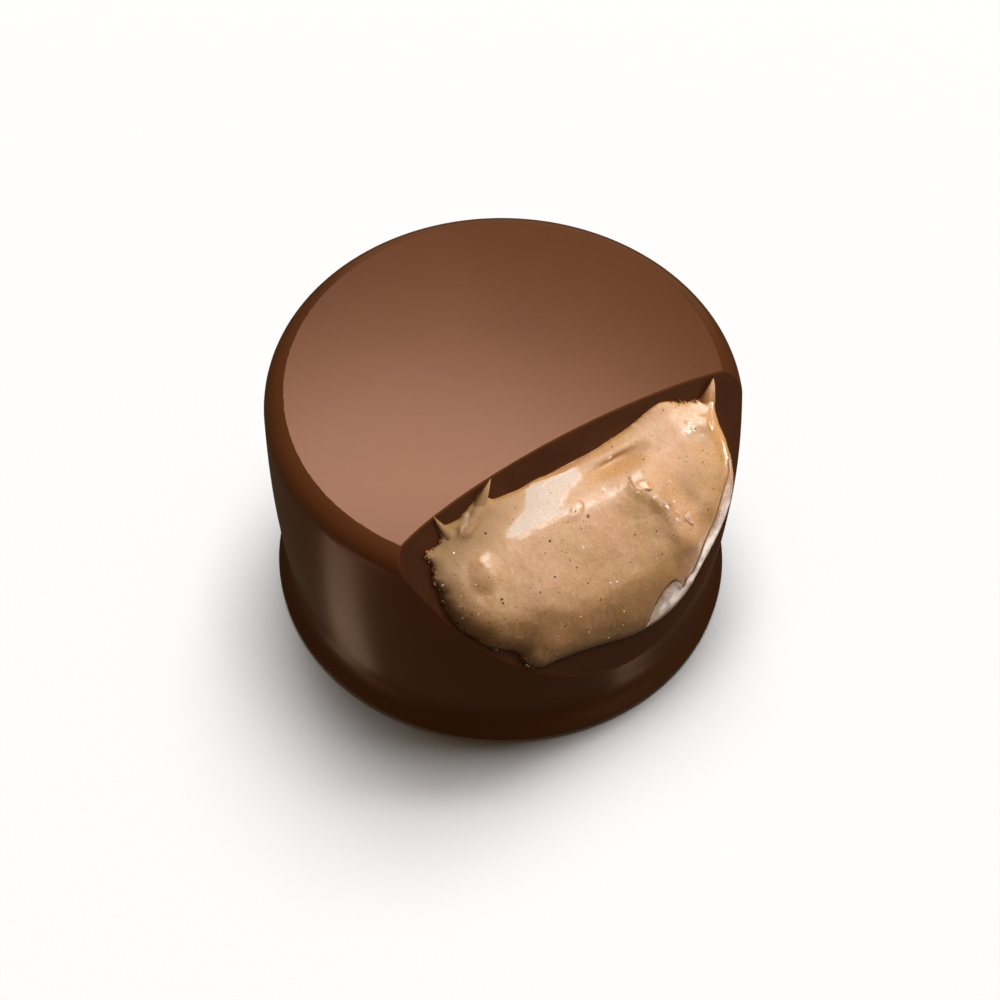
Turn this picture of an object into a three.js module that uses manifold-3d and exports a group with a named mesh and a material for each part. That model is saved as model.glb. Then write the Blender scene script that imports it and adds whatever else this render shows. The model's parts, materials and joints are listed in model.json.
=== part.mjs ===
// A moulded chocolate bonbon, 28 mm across, with a slanting slice taken off its front right side.
// The slice shows the thin chocolate shell in section and the nut cream that swells out over it.
//
// Millimetres, +Z up, origin at the middle of the flat base. The slice faces -Y and +X.
// Heights and places on the slice are given in the slice's own coordinates: u runs level along it
// to the right, v runs up its slope, and w stands out of it, all measured from the origin.

import * as THREE from 'three';
import { mergeVertices } from 'three/addons/utils/BufferGeometryUtils.js';
import Module from 'manifold-3d';

// Outer form of the shell.
const RADIUS = 14; // widest ring, where the rim meets the wall
const HEIGHT = 16.7;
const FLAT_RADIUS = 12.8; // the level top ends here in a fine crease
const RIM_DROP = 1.43; // from the level top down to the widest ring
const RIM_CREASE = THREE.MathUtils.degToRad(15); // slope of the rim just outside the crease
const RIM_FULLNESS = 0.76; // length of the rim curve's two handles
const WALL_TAPER = 1.22; // how far the wall draws in from the widest ring to the base
const TAPER_POWER = 2.38; // the wall starts upright and draws in ever faster
const FOOT_RADIUS = 13.92;
const FOOT_HEIGHT = 1.31; // reach of the hollow flare that leads out to the foot
const FOOT_ROUNDING = 0.45;

// Hollow of the shell.
const WALL_THICKNESS = 1.0;
const CEILING_THICKNESS = 1.15;
const FLOOR_THICKNESS = 1.3;
const HOLLOW_CORNER = 1.6; // rounding between the hollow's wall and its ceiling and floor

// The slice: a shallow scoop across the slope, slightly twisted and opening out at both ends.
const SLICE_TURN = THREE.MathUtils.degToRad(-52.6); // direction that the slice faces, from +X
const SLICE_RISE = THREE.MathUtils.degToRad(36.1); // how far it looks up
const SLICE_DEPTH = 13.76; // from the origin out to the slice
const SLICE_HOLLOW = 0.0075; // rise of the scoop per squared millimetre along u
const SLICE_TWIST = 0.0031;
const SLICE_FLARE = 0.13; // extra rise at FLARE_REACH from the middle
const FLARE_REACH = 11;
const FLARE_POWER = 8;
const SLICE_CLEARANCE = 24; // the cutting body reaches this far past the bonbon

// Cream that swells out over the slice. Its edge is given by its reach from CREAM_CENTRE in turn.
const CREAM_CENTRE = new THREE.Vector2(0, 3.4);
const CREAM_EDGE = [ // [degrees from u towards v, reach]
  [-172, 9.0], [-159, 7.7], [-148, 7.8], [-138, 7.1], [-124, 6.2], [-106, 5.8], [-90, 6.1], [-66, 6.7],
  [-45, 7.2], [-22, 8.1], [-5, 8.9], [10, 9.9], [22, 10.4], [28, 10.8], [34, 9.9], [41, 9.3], [50, 7.5],
  [63, 6.3], [86, 5.7], [108, 6.0], [125, 7.1], [140, 9.4], [149, 10.6], [158, 11.1], [172, 10.2],
];
const SWELL_LOW = 1.5; // how far the cream stands out below SWELL_LOW_V
const SWELL_HIGH = 0.45; // and above SWELL_HIGH_V
const SWELL_LOW_V = -0.6;
const SWELL_HIGH_V = 9.4;
const SWELL_POWER = 4; // the higher, the flatter the middle and the steeper the edge
const EDGE_LIP = 0.12; // thickness that the cream keeps at its edge
const GAP = 0.3; // the cream clears the chocolate by this much
const CORE_OVERLAP = 0.1; // the core runs this far into the swelling

// Low relief on the cream: [u, v, half width along u, half width along v, height].
const CREAM_RELIEF = [
  [-6.9, 5.4, 0.8, 0.9, 0.4], // nut piece just under the surface
  [0.5, 6.1, 5.0, 0.8, 0.3], // crest of the upper fold
  [3.0, 7.1, 2.2, 0.5, -0.4], // groove above that crest
  [5.9, 3.4, 1.0, 2.2, 0.35], // ridge that leads down to the right
];

// Drawn-out tips of cream that lie on the slice: root and tip in u and v, width at the root.
const CREAM_TIPS = [
  { root: [-8.4, 8.6], tip: [-8.8, 10.35], width: 0.7 },
  { root: [-6.2, 8.7], tip: [-4.6, 10.5], width: 1.0 },
  { root: [9.5, 7.9], tip: [10.25, 9.4], width: 0.8 },
];
const TIP_THICKNESS = 0.35;
const TIP_SPREAD = THREE.MathUtils.degToRad(70); // the tip draws in over this turn to each side

// Fineness of the facets.
const ROUND_STEPS = 64;
const CURVE_STEPS = 6; // along the rim, the wall and the flare
const CORNER_STEPS = 4;
const SLICE_RINGS = 7;
const SLICE_SPOKES = 40;
const CREAM_RINGS = 8;
const CREAM_SPOKES = 72;
const TIP_RINGS = 3;
const TIP_SPOKES = 20;

const WIDEST_HEIGHT = HEIGHT - RIM_DROP;

const chocolate = new THREE.MeshStandardMaterial({ color: 0x4b2a1d, roughness: 0.38, metalness: 0 });
const nutCream = new THREE.MeshStandardMaterial({ color: 0xd6ab82, roughness: 0.42, metalness: 0 });

// Radius of the plain tapered wall at a height.
function taperRadius(z) {
  const fall = Math.max(WIDEST_HEIGHT - z, 0) / WIDEST_HEIGHT;
  return RADIUS - WALL_TAPER * fall ** TAPER_POWER;
}

// The same wall with the hollow flare that leads out to the foot.
function wallRadius(z) {
  const flare = FOOT_RADIUS - (RADIUS - WALL_TAPER);
  return taperRadius(z) + flare * Math.exp(-((z / FOOT_HEIGHT) ** 2));
}

function steps(from, to, count) {
  return Array.from({ length: count + 1 }, (_, k) => from + ((to - from) * k) / count);
}

// Outline of the shell's outside, from the middle of the base to the middle of the top.
function outerProfile() {
  const footRadius = wallRadius(FOOT_ROUNDING) - FOOT_ROUNDING;
  const foot = steps(-90, 0, CORNER_STEPS).slice(0, -1).map((degrees) => {
    const turn = THREE.MathUtils.degToRad(degrees);
    return new THREE.Vector2(
      footRadius + FOOT_ROUNDING * Math.cos(turn),
      FOOT_ROUNDING * (1 + Math.sin(turn)),
    );
  });
  const flareTop = 2 * FOOT_HEIGHT;
  const heights = [
    ...steps(FOOT_ROUNDING, flareTop, CURVE_STEPS),
    ...steps(flareTop, WIDEST_HEIGHT, CURVE_STEPS).slice(1),
  ];
  const wall = heights.map((z) => new THREE.Vector2(wallRadius(z), z));
  const rim = new THREE.CubicBezierCurve(
    new THREE.Vector2(RADIUS, WIDEST_HEIGHT),
    new THREE.Vector2(RADIUS, WIDEST_HEIGHT + RIM_FULLNESS),
    new THREE.Vector2(
      FLAT_RADIUS + RIM_FULLNESS * Math.cos(RIM_CREASE),
      HEIGHT - RIM_FULLNESS * Math.sin(RIM_CREASE),
    ),
    new THREE.Vector2(FLAT_RADIUS, HEIGHT),
  ).getPoints(CURVE_STEPS).slice(1);
  return [new THREE.Vector2(0, 0), ...foot, ...wall, ...rim, new THREE.Vector2(0, HEIGHT)];
}

// Outline of the shell's hollow drawn in by inset on every side, from its floor to its ceiling.
function hollowProfile(inset) {
  const floor = FLOOR_THICKNESS + inset;
  const ceiling = HEIGHT - CEILING_THICKNESS - inset;
  const corner = HOLLOW_CORNER - inset;
  const side = (z) => taperRadius(z) - WALL_THICKNESS - inset;
  const quarter = (centreZ, from, to) => steps(from, to, CORNER_STEPS).map((degrees) => {
    const turn = THREE.MathUtils.degToRad(degrees);
    const z = centreZ + corner * Math.sin(turn);
    return new THREE.Vector2(side(centreZ) - corner * (1 - Math.cos(turn)), z);
  });
  const walls = steps(floor + corner, ceiling - corner, CORNER_STEPS).slice(1, -1);
  return [
    new THREE.Vector2(0, floor),
    ...quarter(floor + corner, -90, 0),
    ...walls.map((z) => new THREE.Vector2(side(z), z)),
    ...quarter(ceiling - corner, 0, 90),
    new THREE.Vector2(0, ceiling),
  ];
}

function turned(profile) {
  return new THREE.LatheGeometry(profile, ROUND_STEPS).rotateX(Math.PI / 2);
}

// Directions of the slice's coordinates in the bonbon's frame.
const OUT = new THREE.Vector3(
  Math.cos(SLICE_RISE) * Math.cos(SLICE_TURN),
  Math.cos(SLICE_RISE) * Math.sin(SLICE_TURN),
  Math.sin(SLICE_RISE),
);
const ALONG = new THREE.Vector3(-Math.sin(SLICE_TURN), Math.cos(SLICE_TURN), 0);
const UPSLOPE = new THREE.Vector3().crossVectors(OUT, ALONG);

function sliceHeight(u, v) {
  const flare = SLICE_FLARE * (Math.abs(u) / FLARE_REACH) ** FLARE_POWER;
  return SLICE_DEPTH + SLICE_HOLLOW * u * u + SLICE_TWIST * u * v + flare;
}

// A closed body over a star-shaped patch of the slice, between two heights above the slice.
function patchBody({ centre, reach, low, high, rings, spokes, crowding }) {
  const positions = [];
  const triangles = [];
  const row = 1 + rings * spokes;
  const put = (u, v, w) => {
    const point = new THREE.Vector3()
      .addScaledVector(ALONG, u).addScaledVector(UPSLOPE, v).addScaledVector(OUT, w);
    positions.push(point.x, point.y, point.z);
  };
  for (const level of [low, high]) {
    put(centre.x, centre.y, sliceHeight(centre.x, centre.y) + level(centre.x, centre.y, 0));
    for (let ring = 1; ring <= rings; ring += 1) {
      const share = 1 - (1 - ring / rings) ** crowding;
      for (let spoke = 0; spoke < spokes; spoke += 1) {
        const turn = (2 * Math.PI * spoke) / spokes;
        const u = centre.x + share * reach(turn) * Math.cos(turn);
        const v = centre.y + share * reach(turn) * Math.sin(turn);
        put(u, v, sliceHeight(u, v) + level(u, v, share));
      }
    }
  }
  const at = (side, ring, spoke) => side * row + (ring ? 1 + (ring - 1) * spokes + (spoke % spokes) : 0);
  const face = (a, b, c, d) => triangles.push(a, b, c, a, c, d);
  for (let spoke = 0; spoke < spokes; spoke += 1) {
    triangles.push(at(1, 0, 0), at(1, 1, spoke), at(1, 1, spoke + 1));
    triangles.push(at(0, 0, 0), at(0, 1, spoke + 1), at(0, 1, spoke));
    for (let ring = 1; ring < rings; ring += 1) {
      face(at(1, ring, spoke), at(1, ring + 1, spoke), at(1, ring + 1, spoke + 1), at(1, ring, spoke + 1));
      face(at(0, ring, spoke), at(0, ring, spoke + 1), at(0, ring + 1, spoke + 1), at(0, ring + 1, spoke));
    }
    face(at(0, rings, spoke), at(0, rings, spoke + 1), at(1, rings, spoke + 1), at(1, rings, spoke));
  }
  const geometry = new THREE.BufferGeometry();
  geometry.setAttribute('position', new THREE.Float32BufferAttribute(positions, 3));
  return geometry.setIndex(triangles);
}

// Everything that lies further out than the slice, lifted by some height.
function slicedOff(lift) {
  return patchBody({
    centre: CREAM_CENTRE,
    reach: () => SLICE_CLEARANCE,
    low: () => lift,
    high: () => lift + SLICE_CLEARANCE,
    rings: SLICE_RINGS,
    spokes: SLICE_SPOKES,
    crowding: 1,
  });
}

// Reach of the cream's edge in one direction, on a smooth closed curve through CREAM_EDGE.
function creamReach(turn) {
  const degrees = THREE.MathUtils.radToDeg(turn);
  const count = CREAM_EDGE.length;
  const entry = (k) => {
    const laps = Math.floor(k / count);
    const [angle, reach] = CREAM_EDGE[k - laps * count];
    return [angle + 360 * laps, reach];
  };
  const from = degrees > CREAM_EDGE[count - 1][0] ? degrees - 360 : degrees;
  let k = 0;
  while (entry(k)[0] <= from) k += 1;
  const [before, start, end, after] = [k - 2, k - 1, k, k + 1].map(entry);
  const t = (from - start[0]) / (end[0] - start[0]);
  const span = end[0] - start[0];
  const slopeStart = (span * (end[1] - before[1])) / (end[0] - before[0]);
  const slopeEnd = (span * (after[1] - start[1])) / (after[0] - start[0]);
  return start[1] * (2 * t ** 3 - 3 * t ** 2 + 1) + slopeStart * (t ** 3 - 2 * t ** 2 + t)
    + end[1] * (3 * t ** 2 - 2 * t ** 3) + slopeEnd * (t ** 3 - t ** 2);
}

// Height of the cream's surface above the slice. share is 0 in the middle and 1 at the edge.
function creamHeight(u, v, share) {
  const swell = THREE.MathUtils.lerp(
    SWELL_LOW, SWELL_HIGH, THREE.MathUtils.smoothstep(v, SWELL_LOW_V, SWELL_HIGH_V),
  );
  const crown = Math.sqrt(1 - share ** SWELL_POWER);
  const relief = CREAM_RELIEF.reduce((sum, [atU, atV, wideU, wideV, height]) => (
    sum + height * Math.exp(-(((u - atU) / wideU) ** 2) - (((v - atV) / wideV) ** 2))
  ), 0);
  return GAP + EDGE_LIP + crown * (swell + relief);
}

function creamSwelling() {
  return patchBody({
    centre: CREAM_CENTRE,
    reach: creamReach,
    low: () => GAP,
    high: creamHeight,
    rings: CREAM_RINGS,
    spokes: CREAM_SPOKES,
    crowding: 2,
  });
}

function creamTip({ root, tip, width }) {
  const centre = new THREE.Vector2(...root);
  const drawn = new THREE.Vector2(...tip).sub(centre);
  const heading = drawn.angle();
  const reach = (turn) => {
    const aside = Math.abs(THREE.MathUtils.euclideanModulo(turn - heading + Math.PI, 2 * Math.PI) - Math.PI);
    const draw = Math.max(1 - aside / TIP_SPREAD, 0) ** 3;
    return THREE.MathUtils.lerp(width, drawn.length(), draw);
  };
  return patchBody({
    centre,
    reach: (turn) => reach(turn + heading),
    low: () => GAP,
    high: (u, v, share) => GAP + EDGE_LIP + TIP_THICKNESS * Math.sqrt(1 - share * share),
    rings: TIP_RINGS,
    spokes: TIP_SPOKES,
    crowding: 1,
  });
}

const wasm = await Module();
wasm.setup();

// A closed geometry as a solid that can be joined and cut.
function solid(source) {
  const bare = source.clone();
  bare.deleteAttribute('normal');
  bare.deleteAttribute('uv');
  const merged = mergeVertices(bare, 1e-4);
  const index = merged.getIndex().array;
  const corners = [];
  for (let k = 0; k < index.length; k += 3) {
    const [a, b, c] = [index[k], index[k + 1], index[k + 2]];
    if (a !== b && b !== c && c !== a) corners.push(a, b, c);
  }
  return new wasm.Manifold(new wasm.Mesh({
    numProp: 3,
    vertProperties: new Float32Array(merged.getAttribute('position').array),
    triVerts: new Uint32Array(corners),
  }));
}

function piece(name, body, material) {
  const { numProp, vertProperties, triVerts } = body.getMesh();
  const geometry = new THREE.BufferGeometry();
  const positions = new Float32Array((vertProperties.length / numProp) * 3);
  for (let k = 0; k < positions.length / 3; k += 1) {
    positions.set(vertProperties.subarray(k * numProp, k * numProp + 3), k * 3);
  }
  geometry.setAttribute('position', new THREE.BufferAttribute(positions, 3));
  geometry.setIndex(new THREE.BufferAttribute(new Uint32Array(triVerts), 1));
  geometry.computeVertexNormals();
  const mesh = new THREE.Mesh(geometry, material);
  mesh.name = name;
  return mesh;
}

const shell = solid(turned(outerProfile()))
  .subtract(solid(turned(hollowProfile(0))))
  .subtract(solid(slicedOff(0)));

const core = solid(turned(hollowProfile(GAP))).subtract(solid(slicedOff(GAP + CORE_OVERLAP)));
const cream = CREAM_TIPS.reduce(
  (body, tip) => body.add(solid(creamTip(tip))),
  core.add(solid(creamSwelling())),
);

const bonbon = new THREE.Group();
bonbon.name = 'bonbon';
bonbon.add(piece('chocolate_shell', shell, chocolate));
bonbon.add(piece('nut_cream', cream, nutCream));

export default bonbon;
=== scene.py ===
"""A moulded chocolate bonbon, 28 mm across, with a slanting slice taken off its front right side.

The slice shows the thin chocolate shell and the nut cream that swells out over it. Sizes are in
millimetres and become metres in the meshes. Places on the slice are given in the slice's own
coordinates: u runs level along it to the right, v up its slope, and h stands out of it.
"""

import json
import math

import bmesh
import bpy
import numpy as np
from mathutils import Matrix, Vector, kdtree, noise

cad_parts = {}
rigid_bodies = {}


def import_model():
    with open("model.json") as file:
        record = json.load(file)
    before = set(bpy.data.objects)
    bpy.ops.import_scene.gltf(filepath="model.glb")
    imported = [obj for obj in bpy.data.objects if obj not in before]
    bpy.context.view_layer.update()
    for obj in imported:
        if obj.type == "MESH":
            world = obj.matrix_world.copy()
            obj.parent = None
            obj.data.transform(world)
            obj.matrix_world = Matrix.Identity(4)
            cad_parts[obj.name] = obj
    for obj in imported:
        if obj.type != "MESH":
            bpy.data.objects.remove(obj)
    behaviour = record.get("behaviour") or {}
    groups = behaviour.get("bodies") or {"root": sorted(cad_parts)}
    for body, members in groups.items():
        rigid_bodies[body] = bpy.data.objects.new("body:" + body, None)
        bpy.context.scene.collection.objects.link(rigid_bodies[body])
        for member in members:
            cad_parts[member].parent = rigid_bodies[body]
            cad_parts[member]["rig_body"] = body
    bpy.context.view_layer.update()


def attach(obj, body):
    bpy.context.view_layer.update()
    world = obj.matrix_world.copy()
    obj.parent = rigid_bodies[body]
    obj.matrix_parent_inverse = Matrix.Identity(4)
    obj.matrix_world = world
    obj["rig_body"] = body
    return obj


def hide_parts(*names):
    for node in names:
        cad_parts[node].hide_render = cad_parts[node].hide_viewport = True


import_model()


# ---- Chocolate shell ---------------------------------------------------------------------------
# A thin shell of milk chocolate, cast in a round mould and tipped out on its base. The level top
# has a fine ragged crease round it where the rim begins, and the slice, made with a warm knife,
# leaves a thin bevel along its edge.

MM = 0.001

RADIUS = 14.0
HEIGHT = 16.7
FLAT_RADIUS = 12.8  # the level top ends here
RIM_DROP = 1.43
RIM_CREASE = math.radians(15)
RIM_FULLNESS = 0.76
WALL_TAPER = 1.22
TAPER_POWER = 2.38
FOOT_RADIUS = 13.92
FOOT_HEIGHT = 1.31
FOOT_ROUNDING = 0.45
BASE_RING = 1.5  # a ring this far inside the foot carries the flat base
FLARE_TOP = 2.6 * FOOT_HEIGHT  # the flare has died out here
TOP_RINGS = (0.06, 0.14, 0.3, 0.7, 1.8, 4.8, 8.8)  # inside the crease, close together beside it
TOOTH_DEPTH = 0.10  # raggedness of the crease
TOOTH_SIZE = 0.14
STEPS_AROUND = 1440

# The hollow's opening stays under the cream, so it is a little narrower than in the mould.
HOLLOW_WALL = 1.7
HOLLOW_CEILING = 1.35
HOLLOW_FLOOR = 1.3
HOLLOW_CORNER = 1.6
HOLLOW_STEPS = 120

SLICE_TURN = math.radians(-52.6)
SLICE_RISE = math.radians(36.1)
SLICE_DEPTH = 13.76
SLICE_HOLLOW = 0.0075
SLICE_TWIST = 0.0031
SLICE_FLARE = 0.13
FLARE_REACH = 11.0
FLARE_POWER = 8
SLICE_GRID = 0.3
SLICE_SPAN = 18.0
SLICE_CLEARANCE = 24.0
BEVEL = 0.07
BEVEL_STEPS = 900
HALVINGS = 40  # in the search for the slice's edge
BEVEL_NUDGE = 0.02  # slopes beside the edge are taken over this distance

WIDEST_HEIGHT = HEIGHT - RIM_DROP
OUT = np.array([
    math.cos(SLICE_RISE) * math.cos(SLICE_TURN),
    math.cos(SLICE_RISE) * math.sin(SLICE_TURN),
    math.sin(SLICE_RISE),
])
ALONG = np.array([-math.sin(SLICE_TURN), math.cos(SLICE_TURN), 0.0])
UPSLOPE = np.cross(OUT, ALONG)
SLICE_CENTRE = np.array([0.0, 3.4])


class Wire:
    """An output of a node. Arithmetic on wires and numbers adds Math nodes."""

    def __init__(self, sheet, socket):
        self.sheet = sheet
        self.socket = socket

    def of(self, output):
        """Another output of the same node."""
        return Wire(self.sheet, self.socket.node.outputs[output])

    def math(self, operation, *values):
        sockets = dict(enumerate((self, *values)))
        return self.sheet.add("ShaderNodeMath", {"operation": operation}, sockets)

    def __add__(self, other):
        return self.math("ADD", other)

    def __sub__(self, other):
        return self.math("SUBTRACT", other)

    def __rsub__(self, other):
        return self.sheet.add("ShaderNodeMath", {"operation": "SUBTRACT"}, {0: other, 1: self})

    def __mul__(self, other):
        return self.math("MULTIPLY", other)

    def __truediv__(self, other):
        return self.math("DIVIDE", other)

    __radd__ = __add__
    __rmul__ = __mul__

    def between(self, low, high):
        """0 at low, 1 at high and smooth in between."""
        return self.sheet.add(
            "ShaderNodeMapRange",
            {"interpolation_type": "SMOOTHSTEP"},
            {"Value": self, "From Min": low, "From Max": high},
        )


class NodeSheet:
    """A node tree under construction."""

    def __init__(self, tree):
        self.tree = tree
        self.tree.nodes.clear()

    def add(self, kind, settings, sockets):
        """A node with its settings, and then its sockets by name or number."""
        node = self.tree.nodes.new(kind)
        for key, value in settings.items():
            setattr(node, key, value)
        for key, value in sockets.items():
            if isinstance(value, Wire):
                self.tree.links.new(value.socket, node.inputs[key])
            else:
                node.inputs[key].default_value = value
        shown = [socket for socket in node.outputs if socket.enabled]
        return Wire(self, shown[0]) if shown else None

    def mix(self, share, start, end, blend="MIX"):
        """Colour mixed from start to end."""
        sockets = {0: share}
        for key, value in ((6, start), (7, end)):
            sockets[key] = value if isinstance(value, Wire) else (*value, 1.0)
        return self.add("ShaderNodeMix", {"data_type": "RGBA", "blend_type": blend}, sockets)

    def place(self):
        """Object coordinates in millimetres."""
        spot = self.add("ShaderNodeTexCoord", {}, {}).of("Object")
        return self.add("ShaderNodeVectorMath", {"operation": "SCALE"}, {0: spot, "Scale": 1 / MM})


def finish_sheet(name):
    """A new material and the sheet of its nodes."""
    material = bpy.data.materials.new(name)
    material.use_nodes = True
    return material, NodeSheet(material.node_tree)


def smooth_step(value, low, high):
    t = np.clip((value - low) / (high - low), 0.0, 1.0)
    return t * t * (3 - 2 * t)


def taper_radius(z):
    fall = max(WIDEST_HEIGHT - z, 0) / WIDEST_HEIGHT
    return RADIUS - WALL_TAPER * fall**TAPER_POWER


def wall_radius(z):
    flare = FOOT_RADIUS - (RADIUS - WALL_TAPER)
    return taper_radius(z) + flare * math.exp(-((z / FOOT_HEIGHT) ** 2))


def rim_point(t):
    """Radius and height on the rim, from the widest ring at 0 to the crease at 1."""
    corners = (
        (RADIUS, WIDEST_HEIGHT),
        (RADIUS, WIDEST_HEIGHT + RIM_FULLNESS),
        (FLAT_RADIUS + RIM_FULLNESS * math.cos(RIM_CREASE), HEIGHT - RIM_FULLNESS * math.sin(RIM_CREASE)),
        (FLAT_RADIUS, HEIGHT),
    )
    shares = ((1 - t) ** 3, 3 * t * (1 - t) ** 2, 3 * t * t * (1 - t), t**3)
    return tuple(sum(share * corner[k] for share, corner in zip(shares, corners)) for k in (0, 1))


def outer_outline():
    """Outline of the shell's outside, from the middle of the base to the middle of the top."""
    foot_centre = wall_radius(FOOT_ROUNDING) - FOOT_ROUNDING
    outline = [(0.0, 0.0), (foot_centre - BASE_RING, 0.0)]
    for turn in np.radians(np.linspace(-90, 0, 6)):
        outline.append((foot_centre + FOOT_ROUNDING * math.cos(turn), FOOT_ROUNDING * (1 + math.sin(turn))))
    heights = [*np.linspace(FOOT_ROUNDING, FLARE_TOP, 13)[1:], *np.linspace(FLARE_TOP, WIDEST_HEIGHT, 15)[1:]]
    outline += [(wall_radius(z), z) for z in heights]
    outline += [rim_point(t) for t in (*np.linspace(0, 0.9, 14)[1:], 0.95, 1.0)]
    outline += [(FLAT_RADIUS - inset, HEIGHT) for inset in TOP_RINGS]
    return [*outline, (0.0, HEIGHT)]


def hollow_outline(wall, ceiling, floor):
    """Outline of the hollow in the shell, from the middle of its floor to its ceiling."""
    top = HEIGHT - ceiling - HOLLOW_CORNER
    low = floor + HOLLOW_CORNER
    outline = [(0.0, floor)]
    for centre, turns in ((low, (-90, 0)), (top, (0, 90))):
        for turn in np.radians(np.linspace(*turns, 7)):
            radius = taper_radius(centre) - wall - HOLLOW_CORNER * (1 - math.cos(turn))
            outline.append((radius, centre + HOLLOW_CORNER * math.sin(turn)))
        if centre == low:
            outline += [(taper_radius(z) - wall, z) for z in np.linspace(low, top, 8)[1:-1]]
    return [*outline, (0.0, HEIGHT - ceiling)]


def turning_tree():
    """Geometry nodes that turn an outline round the upright axis, with a ragged crease at one ring."""
    tree = bpy.data.node_groups.new("turn the outline", "GeometryNodeTree")
    sheet = NodeSheet(tree)
    inputs = (
        ("Outline", "NodeSocketGeometry"), ("Steps Around", "NodeSocketInt"), ("Rows", "NodeSocketInt"),
        ("Crease Radius", "NodeSocketFloat"), ("Crease Height", "NodeSocketFloat"),
        ("Tooth Depth", "NodeSocketFloat"), ("Tooth Size", "NodeSocketFloat"),
        ("Finish", "NodeSocketMaterial"),
    )
    for name, kind in inputs:
        tree.interface.new_socket(name, in_out="INPUT", socket_type=kind)
    tree.interface.new_socket("Body", in_out="OUTPUT", socket_type="NodeSocketGeometry")
    given = sheet.add("NodeGroupInput", {}, {})
    steps, rows = given.of("Steps Around"), given.of("Rows")
    grid = sheet.add("GeometryNodeMeshGrid", {}, {"Vertices X": steps + 1, "Vertices Y": rows})
    index = sheet.add("GeometryNodeInputIndex", {}, {})
    column = (index / rows).math("FLOOR")
    row = index - column * rows
    position = sheet.add("GeometryNodeInputPosition", {}, {})
    spot = sheet.add(
        "GeometryNodeSampleIndex",
        {"data_type": "FLOAT_VECTOR"},
        {"Geometry": given.of("Outline"), "Value": position, "Index": row},
    )
    outline = sheet.add("ShaderNodeSeparateXYZ", {}, {"Vector": spot})
    radius, height = outline.of("X"), outline.of("Z")
    turn = column.math("MODULO", steps) / steps * math.tau
    cosine, sine = turn.math("COSINE"), turn.math("SINE")
    ring = sheet.add("ShaderNodeCombineXYZ", {}, {"X": cosine, "Y": sine})
    tooth = sheet.add(
        "ShaderNodeTexNoise",
        {"noise_dimensions": "3D"},
        {"Vector": ring, "Scale": given.of("Crease Radius") / given.of("Tooth Size"), "Detail": 3.0},
    ).of("Fac")
    off_crease = (radius - given.of("Crease Radius")) / (given.of("Tooth Depth") * 1.2)
    low_down = (given.of("Crease Height") - height) / given.of("Tooth Depth")
    near = (off_crease * off_crease + low_down * low_down).math("MULTIPLY", -1.0).math("EXPONENT")
    ragged = radius + (tooth - 0.5) * given.of("Tooth Depth") * 2.0 * near
    turned = sheet.add("ShaderNodeCombineXYZ", {}, {"X": ragged * cosine, "Y": ragged * sine, "Z": height})
    moved = sheet.add("GeometryNodeSetPosition", {}, {"Geometry": grid.of("Mesh"), "Position": turned})
    closed = sheet.add("GeometryNodeMergeByDistance", {}, {"Geometry": moved, "Distance": 1e-3 * MM})
    real = sheet.add("GeometryNodeRealizeInstances", {}, {"Geometry": closed})
    done = sheet.add("GeometryNodeSetMaterial", {}, {"Geometry": real, "Material": given.of("Finish")})
    sheet.add("NodeGroupOutput", {}, {"Body": done})
    return tree


def new_object(name, mesh):
    piece = bpy.data.objects.new(name, mesh)
    bpy.context.scene.collection.objects.link(piece)
    return piece


def mesh_object(name, points, faces):
    """A mesh object from points in millimetres."""
    mesh = bpy.data.meshes.new(name)
    mesh.from_pydata([tuple(MM * c for c in point) for point in points], [], faces)
    return new_object(name, mesh)


def settle(piece):
    """Replaces the object's mesh by its evaluated one and removes its modifiers."""
    evaluated = piece.evaluated_get(bpy.context.evaluated_depsgraph_get())
    mesh = bpy.data.meshes.new_from_object(evaluated)
    piece.modifiers.clear()
    piece.data = mesh


def apply_tree(piece, tree, inputs):
    """Runs a geometry node tree on the object with the named inputs and keeps the result."""
    modifier = piece.modifiers.new(tree.name, "NODES")
    modifier.node_group = tree
    for item in tree.interface.items_tree:
        if item.in_out == "INPUT" and item.name in inputs:
            modifier[item.identifier] = inputs[item.name]
    settle(piece)


def face_outwards(piece):
    work = bmesh.new()
    work.from_mesh(piece.data)
    bmesh.ops.recalc_face_normals(work, faces=work.faces)
    work.to_mesh(piece.data)
    work.free()


def join_or_cut(piece, tool, operation):
    """Boolean of the object with a tool, which is used up."""
    modifier = piece.modifiers.new("joint", "BOOLEAN")
    modifier.operation = operation
    modifier.solver = "MANIFOLD"
    modifier.object = tool
    settle(piece)
    bpy.data.objects.remove(tool)


turning = turning_tree()


def turned_body(name, outline, steps, material, tooth_depth):
    """A solid of revolution about the upright axis."""
    mesh = bpy.data.meshes.new(name)
    points = [(r * MM, 0.0, z * MM) for r, z in outline]
    mesh.from_pydata(points, [(k, k + 1) for k in range(len(outline) - 1)], [])
    piece = new_object(name, mesh)
    apply_tree(piece, turning, {
        "Steps Around": steps, "Rows": len(outline),
        "Crease Radius": FLAT_RADIUS * MM, "Crease Height": HEIGHT * MM,
        "Tooth Depth": tooth_depth * MM, "Tooth Size": TOOTH_SIZE * MM, "Finish": material,
    })
    face_outwards(piece)
    return piece


def slice_height(u, v):
    """Distance of the slice from the origin, along the way it faces."""
    flare = SLICE_FLARE * (np.abs(u) / FLARE_REACH) ** FLARE_POWER
    return SLICE_DEPTH + SLICE_HOLLOW * u * u + SLICE_TWIST * u * v + flare


def on_slice(u, v, h):
    """Point in the bonbon's frame for a place on the slice and a height above it."""
    u, v, h = (np.asarray(value, dtype=float)[..., None] for value in (u, v, h))
    return u * ALONG + v * UPSLOPE + (slice_height(u, v) + h) * OUT


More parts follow.
